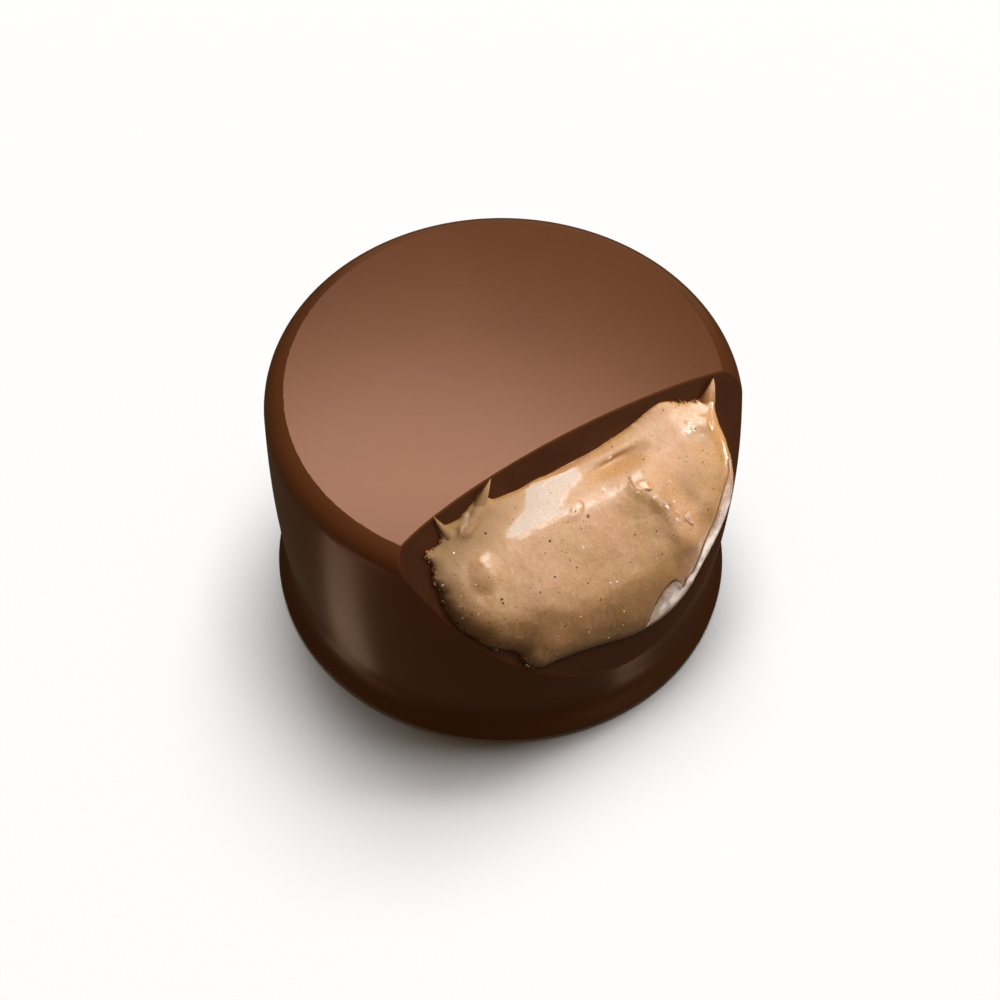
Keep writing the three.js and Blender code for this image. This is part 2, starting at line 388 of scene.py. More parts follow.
def sliced_off(lift):
    """Everything that lies further out than the slice, lifted by some height."""
    line = np.arange(-SLICE_SPAN, SLICE_SPAN + SLICE_GRID / 2, SLICE_GRID)
    u, v = np.meshgrid(line, line, indexing="ij")
    count = len(line)
    far = u * 0 + SLICE_CLEARANCE
    points = np.concatenate([on_slice(u, v, u * 0 + lift).reshape(-1, 3), on_slice(u, v, far).reshape(-1, 3)])
    top = count * count
    faces = []
    for i in range(count - 1):
        for j in range(count - 1):
            a, b, c, d = i * count + j, (i + 1) * count + j, (i + 1) * count + j + 1, i * count + j + 1
            faces += [(a, d, c, b), (a + top, b + top, c + top, d + top)]
    edge = [i * count for i in range(count)]
    edge += [(count - 1) * count + j for j in range(1, count)]
    edge += [i * count + count - 1 for i in range(count - 2, -1, -1)]
    edge += list(range(count - 2, 0, -1))
    for a, b in zip(edge, edge[1:] + edge[:1]):
        faces.append((a, b, b + top, a + top))
    tool = mesh_object("slice tool", points, faces)
    face_outwards(tool)
    return tool


def outside_distance(points):
    """Rough signed distance of points from the shell's outside, negative inside."""
    wall = np.array(outer_outline())[5:]  # without the base
    radius = np.hypot(points[:, 0], points[:, 1])
    side = radius - np.interp(points[:, 2], wall[:, 1], wall[:, 0])
    return np.maximum(side, points[:, 2] - HEIGHT)


def bevel_tool():
    """A closed three-sided bar that takes the sharp edge off round the slice."""
    turns = np.linspace(0, 2 * math.pi, BEVEL_STEPS, endpoint=False)
    low, high = turns * 0, turns * 0 + SLICE_SPAN
    aim = np.stack([np.cos(turns), np.sin(turns)], axis=1)
    for _ in range(HALVINGS):
        middle = (low + high) / 2
        spots = SLICE_CENTRE + aim * middle[:, None]
        within = outside_distance(on_slice(spots[:, 0], spots[:, 1], turns * 0)) < 0
        low, high = np.where(within, middle, low), np.where(within, high, middle)
    spots = SLICE_CENTRE + aim * low[:, None]
    edge = on_slice(spots[:, 0], spots[:, 1], turns * 0)
    nudge = BEVEL_NUDGE
    gradient = np.stack([
        outside_distance(edge + nudge * axis) - outside_distance(edge - nudge * axis) for axis in np.eye(3)
    ], axis=1)
    outward = gradient / np.linalg.norm(gradient, axis=1, keepdims=True)
    du = slice_height(spots[:, 0] + nudge, spots[:, 1]) - slice_height(spots[:, 0] - nudge, spots[:, 1])
    dv = slice_height(spots[:, 0], spots[:, 1] + nudge) - slice_height(spots[:, 0], spots[:, 1] - nudge)
    facing = OUT - (du[:, None] * ALONG + dv[:, None] * UPSLOPE) / (2 * nudge)
    facing /= np.linalg.norm(facing, axis=1, keepdims=True)
    heading = np.roll(edge, -1, axis=0) - np.roll(edge, 1, axis=0)
    heading /= np.linalg.norm(heading, axis=1, keepdims=True)
    down_side = np.cross(outward, heading)
    down_side *= -np.sign(np.sum(down_side * facing, axis=1, keepdims=True))
    across = np.cross(facing, heading)
    across *= -np.sign(np.sum(across * outward, axis=1, keepdims=True))
    first, second = edge + BEVEL * down_side, edge + BEVEL * across
    spread = second - first
    corners = [first - spread, edge + 4 * BEVEL * (outward + facing), second + spread]
    points = np.concatenate(corners)
    faces = []
    for k in range(BEVEL_STEPS):
        after = (k + 1) % BEVEL_STEPS
        for side in range(3):
            a, b = side * BEVEL_STEPS, (side + 1) % 3 * BEVEL_STEPS
            faces.append((a + k, a + after, b + after, b + k))
    tool = mesh_object("bevel tool", points, faces)
    face_outwards(tool)
    return tool


def smooth_shaded(piece, sharp_from):
    """Smooth shading that keeps edges sharper than an angle."""
    piece.data.polygons.foreach_set("use_smooth", [True] * len(piece.data.polygons))
    piece.data.set_sharp_from_angle(angle=math.radians(sharp_from))


CHOCOLATE_COLOUR = (0.192, 0.059, 0.0185)
CHOCOLATE_LIGHT = (0.208, 0.065, 0.0205)
CHOCOLATE_FOOT_PAINTED_SHADE = (0.095, 0.030, 0.0065)  # painted shade, darker low on the wall near the floor
FOOT_SHADE = (0.5, 3.4)  # full dark below the first height, none above the second
CHOCOLATE_GLOSS_TINT = (1.0, 0.54, 0.34, 1.0)

chocolate_finish, sheet = finish_sheet("satin chocolate")
spot = sheet.place()
clouds = sheet.add("ShaderNodeTexNoise", {}, {"Vector": spot, "Scale": 0.12, "Detail": 3.0}).of("Fac")
colour = sheet.mix(clouds.between(0.3, 0.7), CHOCOLATE_COLOUR, CHOCOLATE_LIGHT)
# Painted shade: the wall darkens towards the floor, and the same share makes it duller there.
foot = 1 - sheet.add("ShaderNodeSeparateXYZ", {}, {"Vector": spot}).of("Z").between(*FOOT_SHADE)
colour = sheet.mix(foot * 0.75, colour, CHOCOLATE_FOOT_PAINTED_SHADE)
rough = 0.24 + 0.05 * clouds + 0.22 * foot
body = sheet.add(
    "ShaderNodeBsdfPrincipled",
    {},
    {
        "Base Color": colour, "Roughness": rough, "Specular Tint": CHOCOLATE_GLOSS_TINT, "IOR": 1.5,
    },
)
sheet.add("ShaderNodeOutputMaterial", {}, {"Surface": body})

CUT_COLOUR = (0.104, 0.032, 0.011)
CUT_LIGHT = (0.130, 0.041, 0.0145)
CUT_PAINTED_SHADE = (0.040, 0.013, 0.0045)  # painted shade, darker low on the slice below the cream
CUT_SHADE = (4.0, 9.0)  # full dark below the first height, none above the second
ON_SLICE = 0.02  # faces this near the slice show cut chocolate
SHELL_SHARP_FROM = 14.5  # just under the crease's angle

cut_finish, sheet = finish_sheet("cut chocolate")
spot = sheet.place()
clouds = sheet.add("ShaderNodeTexNoise", {}, {"Vector": spot, "Scale": 0.5, "Detail": 4.0}).of("Fac")
grain = sheet.add("ShaderNodeTexNoise", {}, {"Vector": spot, "Scale": 7.0, "Detail": 4.0}).of("Fac")
colour = sheet.mix(clouds.between(0.35, 0.65), CUT_COLOUR, CUT_LIGHT)
# Painted shade: the slice darkens towards its low end, below the cream.
low = 1 - sheet.add("ShaderNodeSeparateXYZ", {}, {"Vector": spot}).of("Z").between(*CUT_SHADE)
colour = sheet.mix(low * 0.6, colour, CUT_PAINTED_SHADE)
bump = sheet.add("ShaderNodeBump", {}, {"Strength": 0.25, "Distance": 0.04 * MM, "Height": grain})
body = sheet.add(
    "ShaderNodeBsdfPrincipled",
    {},
    {
        "Base Color": colour, "Roughness": 0.36 + 0.12 * grain, "Normal": bump,
        "Specular Tint": CHOCOLATE_GLOSS_TINT, "IOR": 1.45,
    },
)
sheet.add("ShaderNodeOutputMaterial", {}, {"Surface": body})

shell = turned_body("chocolate_case", outer_outline(), STEPS_AROUND, chocolate_finish, TOOTH_DEPTH)
hollow_shape = hollow_outline(HOLLOW_WALL, HOLLOW_CEILING, HOLLOW_FLOOR)
hollow = turned_body("hollow tool", hollow_shape, HOLLOW_STEPS, chocolate_finish, 0.0)
join_or_cut(shell, hollow, "DIFFERENCE")
join_or_cut(shell, sliced_off(0.0), "DIFFERENCE")
join_or_cut(shell, bevel_tool(), "DIFFERENCE")
shell.data.materials.clear()
shell.data.materials.append(chocolate_finish)
shell.data.materials.append(cut_finish)


def over_slice(points):
    """Height of points, given in metres in the bonbon's frame, above the slice."""
    local = np.asarray(points) / MM
    u, v = local @ ALONG, local @ UPSLOPE
    return local @ OUT - slice_height(u, v)


for face in shell.data.polygons:
    face.material_index = int(abs(over_slice(face.center)) < ON_SLICE)
smooth_shaded(shell, SHELL_SHARP_FROM)
shell.data.name = shell.name
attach(shell, "root")
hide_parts("chocolate_shell")


# ---- Nut cream ---------------------------------------------------------------------------------
# A soft paste of ground nuts and milk that fills the shell. Where the slice opened it, it swells
# out as one glossy mound with a fold across it, and thin tips stay where the knife pulled away.

CREAM_STEP = 0.065  # fineness of the mound's surface

# Outline of the mound, read along its visible border from the left tip round to the right.
MOUND_OUTLINE = np.array([
    (-8.78, 10.42), (-8.79, 10.1), (-8.6, 9.85), (-8.27, 9.64), (-7.9, 9.56), (-7.5, 9.52), (-6.95, 9.68),
    (-6.44, 9.84), (-6.01, 10.0), (-5.53, 10.24), (-5.1, 10.42), (-4.66, 10.54), (-4.72, 10.14),
    (-5.0, 9.86), (-5.16, 9.66), (-4.97, 9.46), (-4.62, 9.35), (-4.0, 9.27), (-3.1, 9.14), (-2.06, 9.13),
    (-1.05, 9.0), (0.0, 8.9), (1.03, 8.9), (2.1, 8.93), (3.18, 9.02), (4.26, 9.12), (5.38, 9.34),
    (6.14, 9.54), (6.8, 9.6), (7.37, 9.42), (7.82, 9.16), (8.21, 8.94), (8.63, 8.8), (9.06, 8.68),
    (9.35, 8.68), (9.7, 8.92), (10.0, 9.12), (10.32, 9.36), (10.3, 9.02), (10.2, 8.59), (10.08, 8.17),
    (9.95, 7.7), (9.85, 7.1), (9.83, 6.5), (9.86, 5.58), (9.83, 4.7), (9.72, 3.80), (9.52, 3.02),
    (9.13, 2.2), (8.55, 1.3), (7.77, 0.46), (6.92, -0.28), (5.86, -1.1), (4.67, -1.98), (3.6, -2.52),
    (2.6, -2.82), (1.7, -2.95), (0.74, -2.9), (-0.26, -2.68), (-1.26, -2.37), (-2.26, -2.1),
    (-4.25, -1.62), (-5.24, -1.43), (-5.94, -1.22), (-6.53, -0.82), (-6.93, -0.41), (-7.12, -0.01),
    (-7.2, 0.45), (-7.5, 0.86), (-8.01, 1.25), (-8.5, 1.6), (-8.95, 2.11), (-9.35, 2.71), (-9.75, 3.35),
    (-10.1, 3.95), (-10.3, 4.6), (-10.42, 5.3), (-10.42, 5.9), (-10.38, 6.5), (-10.5, 7.1), (-10.5, 7.4),
    (-10.28, 7.75), (-10.16, 8.2), (-10.3, 8.7), (-10.1, 8.88), (-9.68, 8.86), (-9.25, 8.86),
    (-9.0, 9.06), (-8.9, 9.44), (-8.87, 9.95),
])

# Border of the clear oil, on the side of the cream.
OIL_INNER = np.array([
    (9.74, 4.4), (9.34, 3.68), (8.8, 3.0), (8.2, 2.2), (7.5, 1.33), (6.88, 0.77), (6.33, 0.23),
    (5.84, -0.34), (5.1, -0.98), (4.62, -1.14), (4.24, -1.52), (4.08, -1.15), (3.8, -0.85), (3.1, -1.0),
    (2.3, -1.5), (1.5, -2.3), (1.2, -3.2),
])
OIL_FAR = np.array([(4.0, -4.0), (9.0, -1.0), (11.5, 4.0)])  # closes its region beyond the mound


def smooth_between(before, start, end, beyond, t):
    """Place at a share t of the way from start to end, on the smooth curve through all four."""
    return 0.5 * (
        2 * start + (end - before) * t + (2 * before - 5 * start + 4 * end - beyond) * t**2
        + (3 * start - before - 3 * end + beyond) * t**3
    )


def smooth_loop(corners, steps):
    """A closed smooth curve through the corners."""
    before, after, beyond = (np.roll(corners, k, axis=0) for k in (1, -1, -2))
    pieces = [smooth_between(before, corners, after, beyond, t) for t in np.arange(steps) / steps]
    return np.stack(pieces, axis=1).reshape(-1, 2)


def nearest_on(path, spots, closed):
    """Distance from each spot to the path, and the nearest point on it."""
    starts = path if closed else path[:-1]
    ends = np.roll(path, -1, axis=0) if closed else path[1:]
    legs = ends - starts
    lengths = np.maximum(np.sum(legs * legs, axis=1), 1e-12)
    best = np.full(len(spots), 1e9)
    found = np.zeros_like(spots)
    for start, leg, length in zip(starts, legs, lengths):
        t = np.clip(((spots - start) @ leg) / length, 0, 1)
        point = start + t[:, None] * leg
        gap = np.hypot(*(spots - point).T)
        closer = gap < best
        best[closer] = gap[closer]
        found[closer] = point[closer]
    return best, found


def inside_loop(loop, spots):
    """Whether each spot is inside the closed loop."""
    inside = np.zeros(len(spots), dtype=bool)
    ends = np.roll(loop, -1, axis=0)
    for (u0, v0), (u1, v1) in zip(loop, ends):
        if v0 == v1:
            continue
        straddles = (v0 > spots[:, 1]) != (v1 > spots[:, 1])
        crossing = u0 + (spots[:, 1] - v0) * (u1 - u0) / (v1 - v0)
        inside ^= straddles & (spots[:, 0] < crossing)
    return inside


def wander(spots, size, seed):
    """Smooth random value from about -1 to 1 at each place, varying over a distance of size."""
    return np.array([noise.noise(Vector((u / size, v / size, seed))) for u, v in spots]) * 1.6


SILHOUETTE_HEIGHT = 0.75  # height of the mound's widest line over the slice, where it bulges
OIL_LOWERS = 0.45  # that line lies this much lower beside the oil
SIGHT_SHIFT = np.array([0.41, -0.41])  # how far a point seems shifted on the slice per unit of height

loop = smooth_loop(MOUND_OUTLINE, 6)
heading = np.roll(loop, -1, axis=0) - np.roll(loop, 1, axis=0)
heading /= np.linalg.norm(heading, axis=1, keepdims=True)
facing_out = np.stack([-heading[:, 1], heading[:, 0]], axis=1)
far_side = smooth_step(facing_out @ (SIGHT_SHIFT / np.linalg.norm(SIGHT_SHIFT)), 0.0, 0.7)
lower_right = smooth_step(loop[:, 0], 0.0, 5.0)
loop = loop - SIGHT_SHIFT * ((SILHOUETTE_HEIGHT - OIL_LOWERS * lower_right) * far_side)[:, None]
left_side = smooth_step(-loop[:, 0], 7.0, 9.0)
torn = 0.035 * wander(loop, 0.45, 4.0) + 0.05 * wander(loop, 1.3, 5.0)
ragged = 0.02 * wander(loop, 0.3, 3.0) + left_side * torn
loop = loop + facing_out * ragged[:, None]


def from_border(spots):
    """Distance of each spot from the mound's outline."""
    return nearest_on(loop, spots, closed=True)[0]


def seen(spots, height):
    """Where places at a height over the slice seem to be from the front."""
    return spots + SIGHT_SHIFT * height[:, None]


def ridge(spots, path, width):
    """1 along the path, falling smoothly to 0 on both sides."""
    gap, _ = nearest_on(np.array(path), spots, closed=False)
    return np.exp(-((gap / width) ** 2))


def from_centre(spots, centre, wide, high, turn):
    """Distance from a centre in units of an oval's half width and half height."""
    cosine, sine = math.cos(math.radians(turn)), math.sin(math.radians(turn))
    away = (spots - np.array(centre)) @ np.array([[cosine, -sine], [sine, cosine]])
    return np.hypot(away[:, 0] / wide, away[:, 1] / high)


def bulge(spots, centre, wide, high, turn=0.0):
    return np.exp(-(from_centre(spots, centre, wide, high, turn) ** 2))


def within(spots, region, feather):
    """1 inside the region, 0 outside it and smooth across its border."""
    gap, _ = nearest_on(region, spots, closed=True)
    signed = np.where(inside_loop(region, spots), gap, -gap)
    return smooth_step(signed, -feather, feather)


SWELL = 2.15
DOME = 0.025
DOME_MIDDLE = 3.2
TOP_SLOPE = 0.55  # the cream falls off this steeply above its crest
CREST_LINE = 6.9
LEFT_FALL = 1.05  # the cream is this much lower at its left end
RIGHT_FALL = 0.75
LIP = 0.10  # height of the border itself
LOWEST = 0.3
LOW_ROLL = 5.6  # the swelling rounds off over this distance from the lower border
ROLL_FALL = 4.7  # and over this much less at the upper one
END_ROLL = 1.5  # and over nearly this at both ends
ROLL_POWER = 2.2

# The smooth wet patch above the crest, as seen from the front.
PATCH = smooth_loop(np.array([
    (-5.1, 7.14), (-4.2, 7.6), (-3.5, 8.0), (-2.9, 8.95), (-1.56, 8.85), (0.4, 8.65), (0.75, 8.0),
    (0.27, 7.6), (-0.5, 7.35), (-1.0, 6.8), (-0.4, 6.5), (-0.35, 6.05), (-1.86, 6.4), (-3.2, 6.48),
    (-4.5, 6.66),
]), 4)
oil_path = smooth_loop(np.concatenate([OIL_INNER, OIL_FAR]), 6)[:6 * len(OIL_INNER) - 5]
OIL_REGION = np.concatenate([oil_path, OIL_FAR])

SOFT_GRID = 0.12
SOFT_STEPS = 5  # width of the softening in grid steps

soft_lines = [np.arange(loop[:, k].min() - 1, loop[:, k].max() + 1, SOFT_GRID) for k in (0, 1)]
grid = np.stack(np.meshgrid(*soft_lines, indexing="ij"), axis=-1)
spots = grid.reshape(-1, 2)
soft_field = np.where(inside_loop(loop, spots), from_border(spots), 0.0).reshape(grid.shape[:2])
blur = np.exp(-(np.arange(-2 * SOFT_STEPS, 2 * SOFT_STEPS + 1) / SOFT_STEPS) ** 2)
for axis in (0, 1):
    soft_field = np.apply_along_axis(np.convolve, axis, soft_field, blur / blur.sum(), "same")


def softened(spots, from_edge):
    """Distance from the border without the creases that its small corners give it further in."""
    along_u, along_v = ((spots[:, k] - soft_lines[k][0]) / SOFT_GRID for k in (0, 1))
    i = np.clip(along_u.astype(int), 0, len(soft_lines[0]) - 2)
    j = np.clip(along_v.astype(int), 0, len(soft_lines[1]) - 2)
    s, t = along_u - i, along_v - j
    near = soft_field[i, j] * (1 - s) + soft_field[i + 1, j] * s
    far = soft_field[i, j + 1] * (1 - s) + soft_field[i + 1, j + 1] * s
    share = smooth_step(from_edge, 0.1, 1.0)
    return from_edge * (1 - share) + (near * (1 - t) + far * t) * share


def swell(spots, from_edge):
    """Height of the cream above the slice without its folds."""
    from_edge = softened(spots, from_edge)
    u, v = spots.T
    upper = 0.5 * np.log1p(np.exp((v - CREST_LINE) / 0.5))
    left = np.clip((-u - 3.0) / 7.4, 0, 1) ** 2
    right = smooth_step(u, 4.5, 9.5)
    fall = TOP_SLOPE * upper * (1 - 0.35 * right - 0.6 * left)
    full = SWELL - DOME * (v - DOME_MIDDLE) ** 2 - fall - LEFT_FALL * left - RIGHT_FALL * right
    roll = LOW_ROLL - ROLL_FALL * smooth_step(v, -1.0, 7.5)
    roll -= (roll - END_ROLL) * smooth_step(np.abs(u), 5.5, 9.5) * 0.75
    roll *= 1 - 0.7 * smooth_step(v, 7.2, 8.4) * bulge(spots, (-1.0, 8.5), 5.0, 3.0)
    near = np.clip(from_edge / roll, 0, 1)
    crown = np.sqrt(np.clip(1 - (1 - near) ** ROLL_POWER, 0, 1))
    full = LOWEST + 0.25 * np.log1p(np.exp((full - LOWEST) / 0.25))
    return LIP + crown * (full - LIP)


# Clusters of wet drops, as seen from the front, whose pale beads are partly painted glints: place,
# half width and turn in degrees.
DROPS = (
    (4.05, 5.1, 0.16, -50), (3.61, 5.41, 0.13, 60), (5.01, 3.54, 0.12, -40),
    (5.27, 2.51, 0.16, -60), (5.56, 3.66, 0.11, 0), (-0.78, 4.04, 0.12, 30), (-0.1, 1.24, 0.12, 10),
    (1.67, 6.52, 0.12, 0), (-0.19, 6.33, 0.16, 15), (0.78, 6.2, 0.13, -20), (0.3, 5.86, 0.11, 40),
    (5.83, 5.1, 0.14, 60), (5.92, 0.28, 0.11, 60), (-9.95, 6.65, 0.12, 20), (8.16, 6.36, 0.11, 0),
    (8.5, 6.5, 0.13, 45), (2.69, 8.05, 0.14, 30), (4.4, 4.55, 0.14, -45), (8.0, 7.2, 0.2, 0),
)

# Wet spots that mirror the light, as seen from the front: place, half width, half height, turn.
GLINTS = (
    (3.75, 6.05, 0.5, 0.26, 20), (4.15, 5.45, 0.42, 0.2, -45), (8.45, 7.75, 0.5, 0.4, 30),
    (9.3, 7.7, 0.45, 0.28, 70), (-7.0, 9.3, 0.85, 0.24, 35), (-6.95, 6.6, 0.5, 0.28, 15),
    (-0.25, 6.35, 0.42, 0.2, 10),
)

# Folds, as seen from the front: height, form, and a ridge's path and width or a bulge's place,
# half width, half height and turn.
FOLDS = (
    (0.06, ridge, ((-5.0, 6.4), (-2.8, 6.3), (-0.3, 6.1), (2.1, 5.8), (3.6, 5.4)), 0.8),
    (0.13, ridge, ((3.6, 5.5), (4.4, 4.7), (4.9, 3.6), (5.2, 2.5), (5.4, 1.0)), 0.7),
    (-0.20, bulge, (6.4, 3.4), 0.8, 2.6, 10),
    (-0.42, bulge, (3.3, 7.4), 1.9, 0.55, -4),
    (0.10, bulge, (3.2, 8.3), 2.1, 0.45, 2),
    (0.22, bulge, (8.1, 7.5), 1.6, 1.2),
    (0.18, ridge, ((8.8, 7.2), (9.6, 8.4)), 0.65),
    (0.30, ridge, ((-7.2, 8.9), (-6.4, 9.3), (-5.6, 9.8)), 0.55),
    (-0.08, bulge, (-7.0, 7.6), 2.2, 0.8, -6),
)
LUMP_CENTRE = (-7.1, 5.85)  # a whole piece of nut lies under the surface here
LUMP_RADIUS = 1.3
LUMP_HEIGHT = 0.19
LUMP_POWER = 1.8


def folds(at):
    """Relief of the cream at places as seen from the front."""
    relief = np.zeros(len(at))
    for height, form, *sizes in FOLDS:
        relief = relief + height * form(at, *sizes)
    lump = np.clip(1 - from_centre(at, LUMP_CENTRE, LUMP_RADIUS, LUMP_RADIUS, 0) ** 2, 0, 1)
    return relief + LUMP_HEIGHT * lump**LUMP_POWER


PATCH_CENTRE = (-2.57, 7.98)
PATCH_HEIGHT = 1.0
PATCH_SLOPE = 0.75  # the patch falls off this steeply up the slice
PLACE_ROUNDS = 8


def patch_plane(spots):
    """Height of the level wet patch above the slice."""
    fall = PATCH_SLOPE * (spots[:, 1] - PATCH_CENTRE[1])
    return PATCH_HEIGHT - fall + slice_height(*PATCH_CENTRE) - slice_height(*spots.T)


def rounded_height(spots, from_edge):
    """Height of the cream above the slice without its glints."""
    base = swell(spots, from_edge)
    drift = np.stack([wander(spots, 1.7, 21.0), wander(spots, 1.7, 22.0)], axis=1)
    at = seen(spots, base) + 0.16 * drift
    calm = 1 - within(at, PATCH, 0.45)
    rough = 0.045 * wander(spots, 2.4, 11.0) + 0.018 * wander(spots, 0.9, 12.0)
    rough = rough + 0.005 * wander(spots, 0.33, 13.0)
    relief = folds(at) + rough
    height = base + relief * np.clip(from_edge / 0.9, 0, 1)
    level = patch_plane(spots) + 0.25 * rough
    return level + (height - level) * np.maximum(calm, 1 - np.clip(from_edge / 0.18, 0, 1))


def true_place(apparent):
    """Places on the slice whose cream is seen at the given places."""
    apparent = np.asarray(apparent, dtype=float)
    spots = apparent - SIGHT_SHIFT * 1.2
    for _ in range(PLACE_ROUNDS):
        from_edge = np.where(inside_loop(loop, spots), from_border(spots), 0.0)
        spots = 0.5 * (spots + apparent - SIGHT_SHIFT * rounded_height(spots, from_edge)[:, None])
    return spots


def surface_above(spots):
    """Height of the cream above the origin, along the way the slice faces."""
    return rounded_height(spots, from_border(spots)) + slice_height(*spots.T)


# Each glint leans the cream until it faces the light as the patch does.
GLINT_NUDGE = 0.15
MOST_LEAN = 0.7

glint_spots = true_place([glint[:2] for glint in GLINTS])
rises = [
    surface_above(glint_spots + nudge) - surface_above(glint_spots - nudge)
    for nudge in GLINT_NUDGE * np.eye(2)
]
slopes = np.stack(rises, axis=1) / (2 * GLINT_NUDGE)
glint_leans = np.clip(np.array([0.0, -PATCH_SLOPE]) - slopes, -MOST_LEAN, MOST_LEAN)


def in_glint(at, glint):
    """1 in a glint, as seen from the front, and smooth across its border."""
    u, v, wide, high, turn = glint
    return smooth_step(1.5 - from_centre(at, (u, v), wide, high, turn), 0.0, 0.9)


def mound_height(spots, from_edge, oil_step):
    """Height of the cream above the slice, lower by a step where the oil stands."""
    height = rounded_height(spots, from_edge)
    drift = np.stack([wander(spots, 0.4, 23.0), wander(spots, 0.4, 24.0)], axis=1)
    at = seen(spots, height)
    for glint, spot, lean in zip(GLINTS, glint_spots, glint_leans):
        share = in_glint(at + 0.09 * drift, glint)
        height = height + share * ((spots - spot) @ lean) * np.clip(from_edge / 0.3, 0, 1)
    oily = within(seen(spots, height), OIL_REGION, 0.06)
    return height - oil_step * oily * np.clip(from_edge / 0.5, 0, 1)


def drop_islands(work):
    """Removes all but the largest connected part."""
    unseen = set(work.verts)
    groups = []
    while unseen:
        front = [unseen.pop()]
        group = list(front)
        while front:
            vertex = front.pop()
            for edge in vertex.link_edges:
                other = edge.other_vert(vertex)
                if other in unseen:
                    unseen.discard(other)
                    front.append(other)
                    group.append(other)
        groups.append(group)
    groups.sort(key=len)
    bmesh.ops.delete(work, geom=[vertex for group in groups[:-1] for vertex in group], context="VERTS")


def flat_patch():
    """Fine flat grid that fills the outline and ends on it."""
    low, high = loop.min(axis=0) - CREAM_STEP, loop.max(axis=0) + CREAM_STEP
    lines = [np.arange(low[k], high[k], CREAM_STEP) for k in (0, 1)]
    grid = np.stack(np.meshgrid(*lines, indexing="ij"), axis=-1)
    spots = grid.reshape(-1, 2)
    within = inside_loop(loop, spots).reshape(grid.shape[:2])
    whole = within[:-1, :-1] & within[1:, :-1] & within[1:, 1:] & within[:-1, 1:]
    for _ in range(3):  # a cell with fewer than two neighbours would hang on the border like a tooth
        beside = np.zeros_like(whole, dtype=int)
        beside[1:] += whole[:-1]
        beside[:-1] += whole[1:]
        beside[:, 1:] += whole[:, :-1]
        beside[:, :-1] += whole[:, 1:]
        whole &= beside >= 2
    count = len(lines[1])
    cells = [
        (i * count + j, (i + 1) * count + j, (i + 1) * count + j + 1, i * count + j + 1)
        for i, j in np.argwhere(whole)
    ]
    work = bmesh.new()
    vertex_of = {}
    for corner in sorted({corner for cell in cells for corner in cell}):
        vertex_of[corner] = work.verts.new((*spots[corner], 0.0))
    for cell in cells:
        work.faces.new([vertex_of[corner] for corner in cell])
    for _ in range(3):  # two cells that meet only at a corner would pinch the border
        pinched = [v for v in work.verts if sum(e.is_boundary for e in v.link_edges) > 2]
        bmesh.ops.delete(work, geom=pinched, context="VERTS")
        drop_islands(work)
    border = [v for v in work.verts if v.is_boundary]
    _, snapped = nearest_on(loop, np.array([v.co.xy for v in border]), closed=True)
    for vertex, spot in zip(border, snapped):
        vertex.co.xy = spot
    near_border = set(border)
    for _ in range(3):
        near_border |= {e.other_vert(v) for v in near_border for e in v.link_edges}
    loose = [v for v in near_border if not v.is_boundary]
    for _ in range(6):
        bmesh.ops.smooth_vert(work, verts=loose, factor=0.5, use_axis_x=True, use_axis_y=True)
    return work


def border_loop(work):
    """The border's vertices in order."""
    first = next(e for e in work.edges if e.is_boundary)
    start, current = first.verts
    order = [start]
    while current is not start:
        order.append(current)
        steps = [e.other_vert(current) for e in current.link_edges if e.is_boundary]
        current = next(v for v in steps if v is not order[-2])
    return order


OIL_STEP = 0.22  # the cream drops this far where the oil begins
UNDERCUT = 0.35
# Rows below the border: share of the undercut, and share of the height or a height below the slice.
UNDER_ROWS = ((0.35, 0.62), (0.75, 0.25), (1.0, -0.02), (1.0, -0.25))
UNDER_REACH = 1.0  # the underside is drawn in with the border up to this far from it
DRAWN_IN = 0.02  # the whole border is drawn in at least this much
RIM_SMOOTHING = 4

work = flat_patch()
spots = np.array([v.co.xy for v in work.verts])
for vertex, height in zip(work.verts, mound_height(spots, from_border(spots), OIL_STEP)):
    vertex.co.z = height
above = border_loop(work)
top_border, top_verts, top_faces = list(above), list(work.verts), list(work.faces)
rim = np.array([v.co[:] for v in above])
heading = np.roll(rim[:, :2], -2, axis=0) - np.roll(rim[:, :2], 2, axis=0)
heading /= np.linalg.norm(heading, axis=1, keepdims=True)
area = np.sum(rim[:, 0] * np.roll(rim[:, 1], -1) - np.roll(rim[:, 0], -1) * rim[:, 1])
inward = np.sign(area) * np.stack([-heading[:, 1], heading[:, 0]], axis=1)
for _ in range(RIM_SMOOTHING):
    inward = (np.roll(inward, 1, axis=0) + inward + np.roll(inward, -1, axis=0)) / 3
faces_down = smooth_step(-inward @ (SIGHT_SHIFT / np.linalg.norm(SIGHT_SHIFT)), -0.2, 0.8)
for share, level in UNDER_ROWS:
    flat = rim[:, :2] + inward * (UNDERCUT * share * faces_down[:, None] + DRAWN_IN * share)
    below = [work.verts.new((*spot, level * z if level > 0 else level)) for spot, z in zip(flat, rim[:, 2])]
    for k in range(len(above)):
        after = (k + 1) % len(above)
        work.faces.new((above[k], above[after], below[after], below[k]))
    above = below
# The underside repeats the top's grid, drawn in like the border and level.
under = dict(zip(top_border, above))
nearest = kdtree.KDTree(len(top_border))
for k, vertex in enumerate(top_border):
    nearest.insert((*vertex.co.xy, 0.0), k)
nearest.balance()
for vertex in top_verts:
    if vertex not in under:
        _, k, gap = nearest.find((*vertex.co.xy, 0.0))
        draw_in = inward[k] * (UNDERCUT * faces_down[k] + DRAWN_IN) * max(1 - gap / UNDER_REACH, 0) ** 2
        under[vertex] = work.verts.new((*(np.array(vertex.co.xy) + draw_in), UNDER_ROWS[-1][1]))
for face in top_faces:
    work.faces.new([under[v] for v in reversed(face.verts)])
places = np.array([v.co[:] for v in work.verts])
for vertex, point in zip(work.verts, on_slice(*places.T)):
    vertex.co = Vector(point) * MM
bmesh.ops.recalc_face_normals(work, faces=work.faces)
mound = bpy.data.meshes.new("nut_cream_body")
work.to_mesh(mound)
work.free()


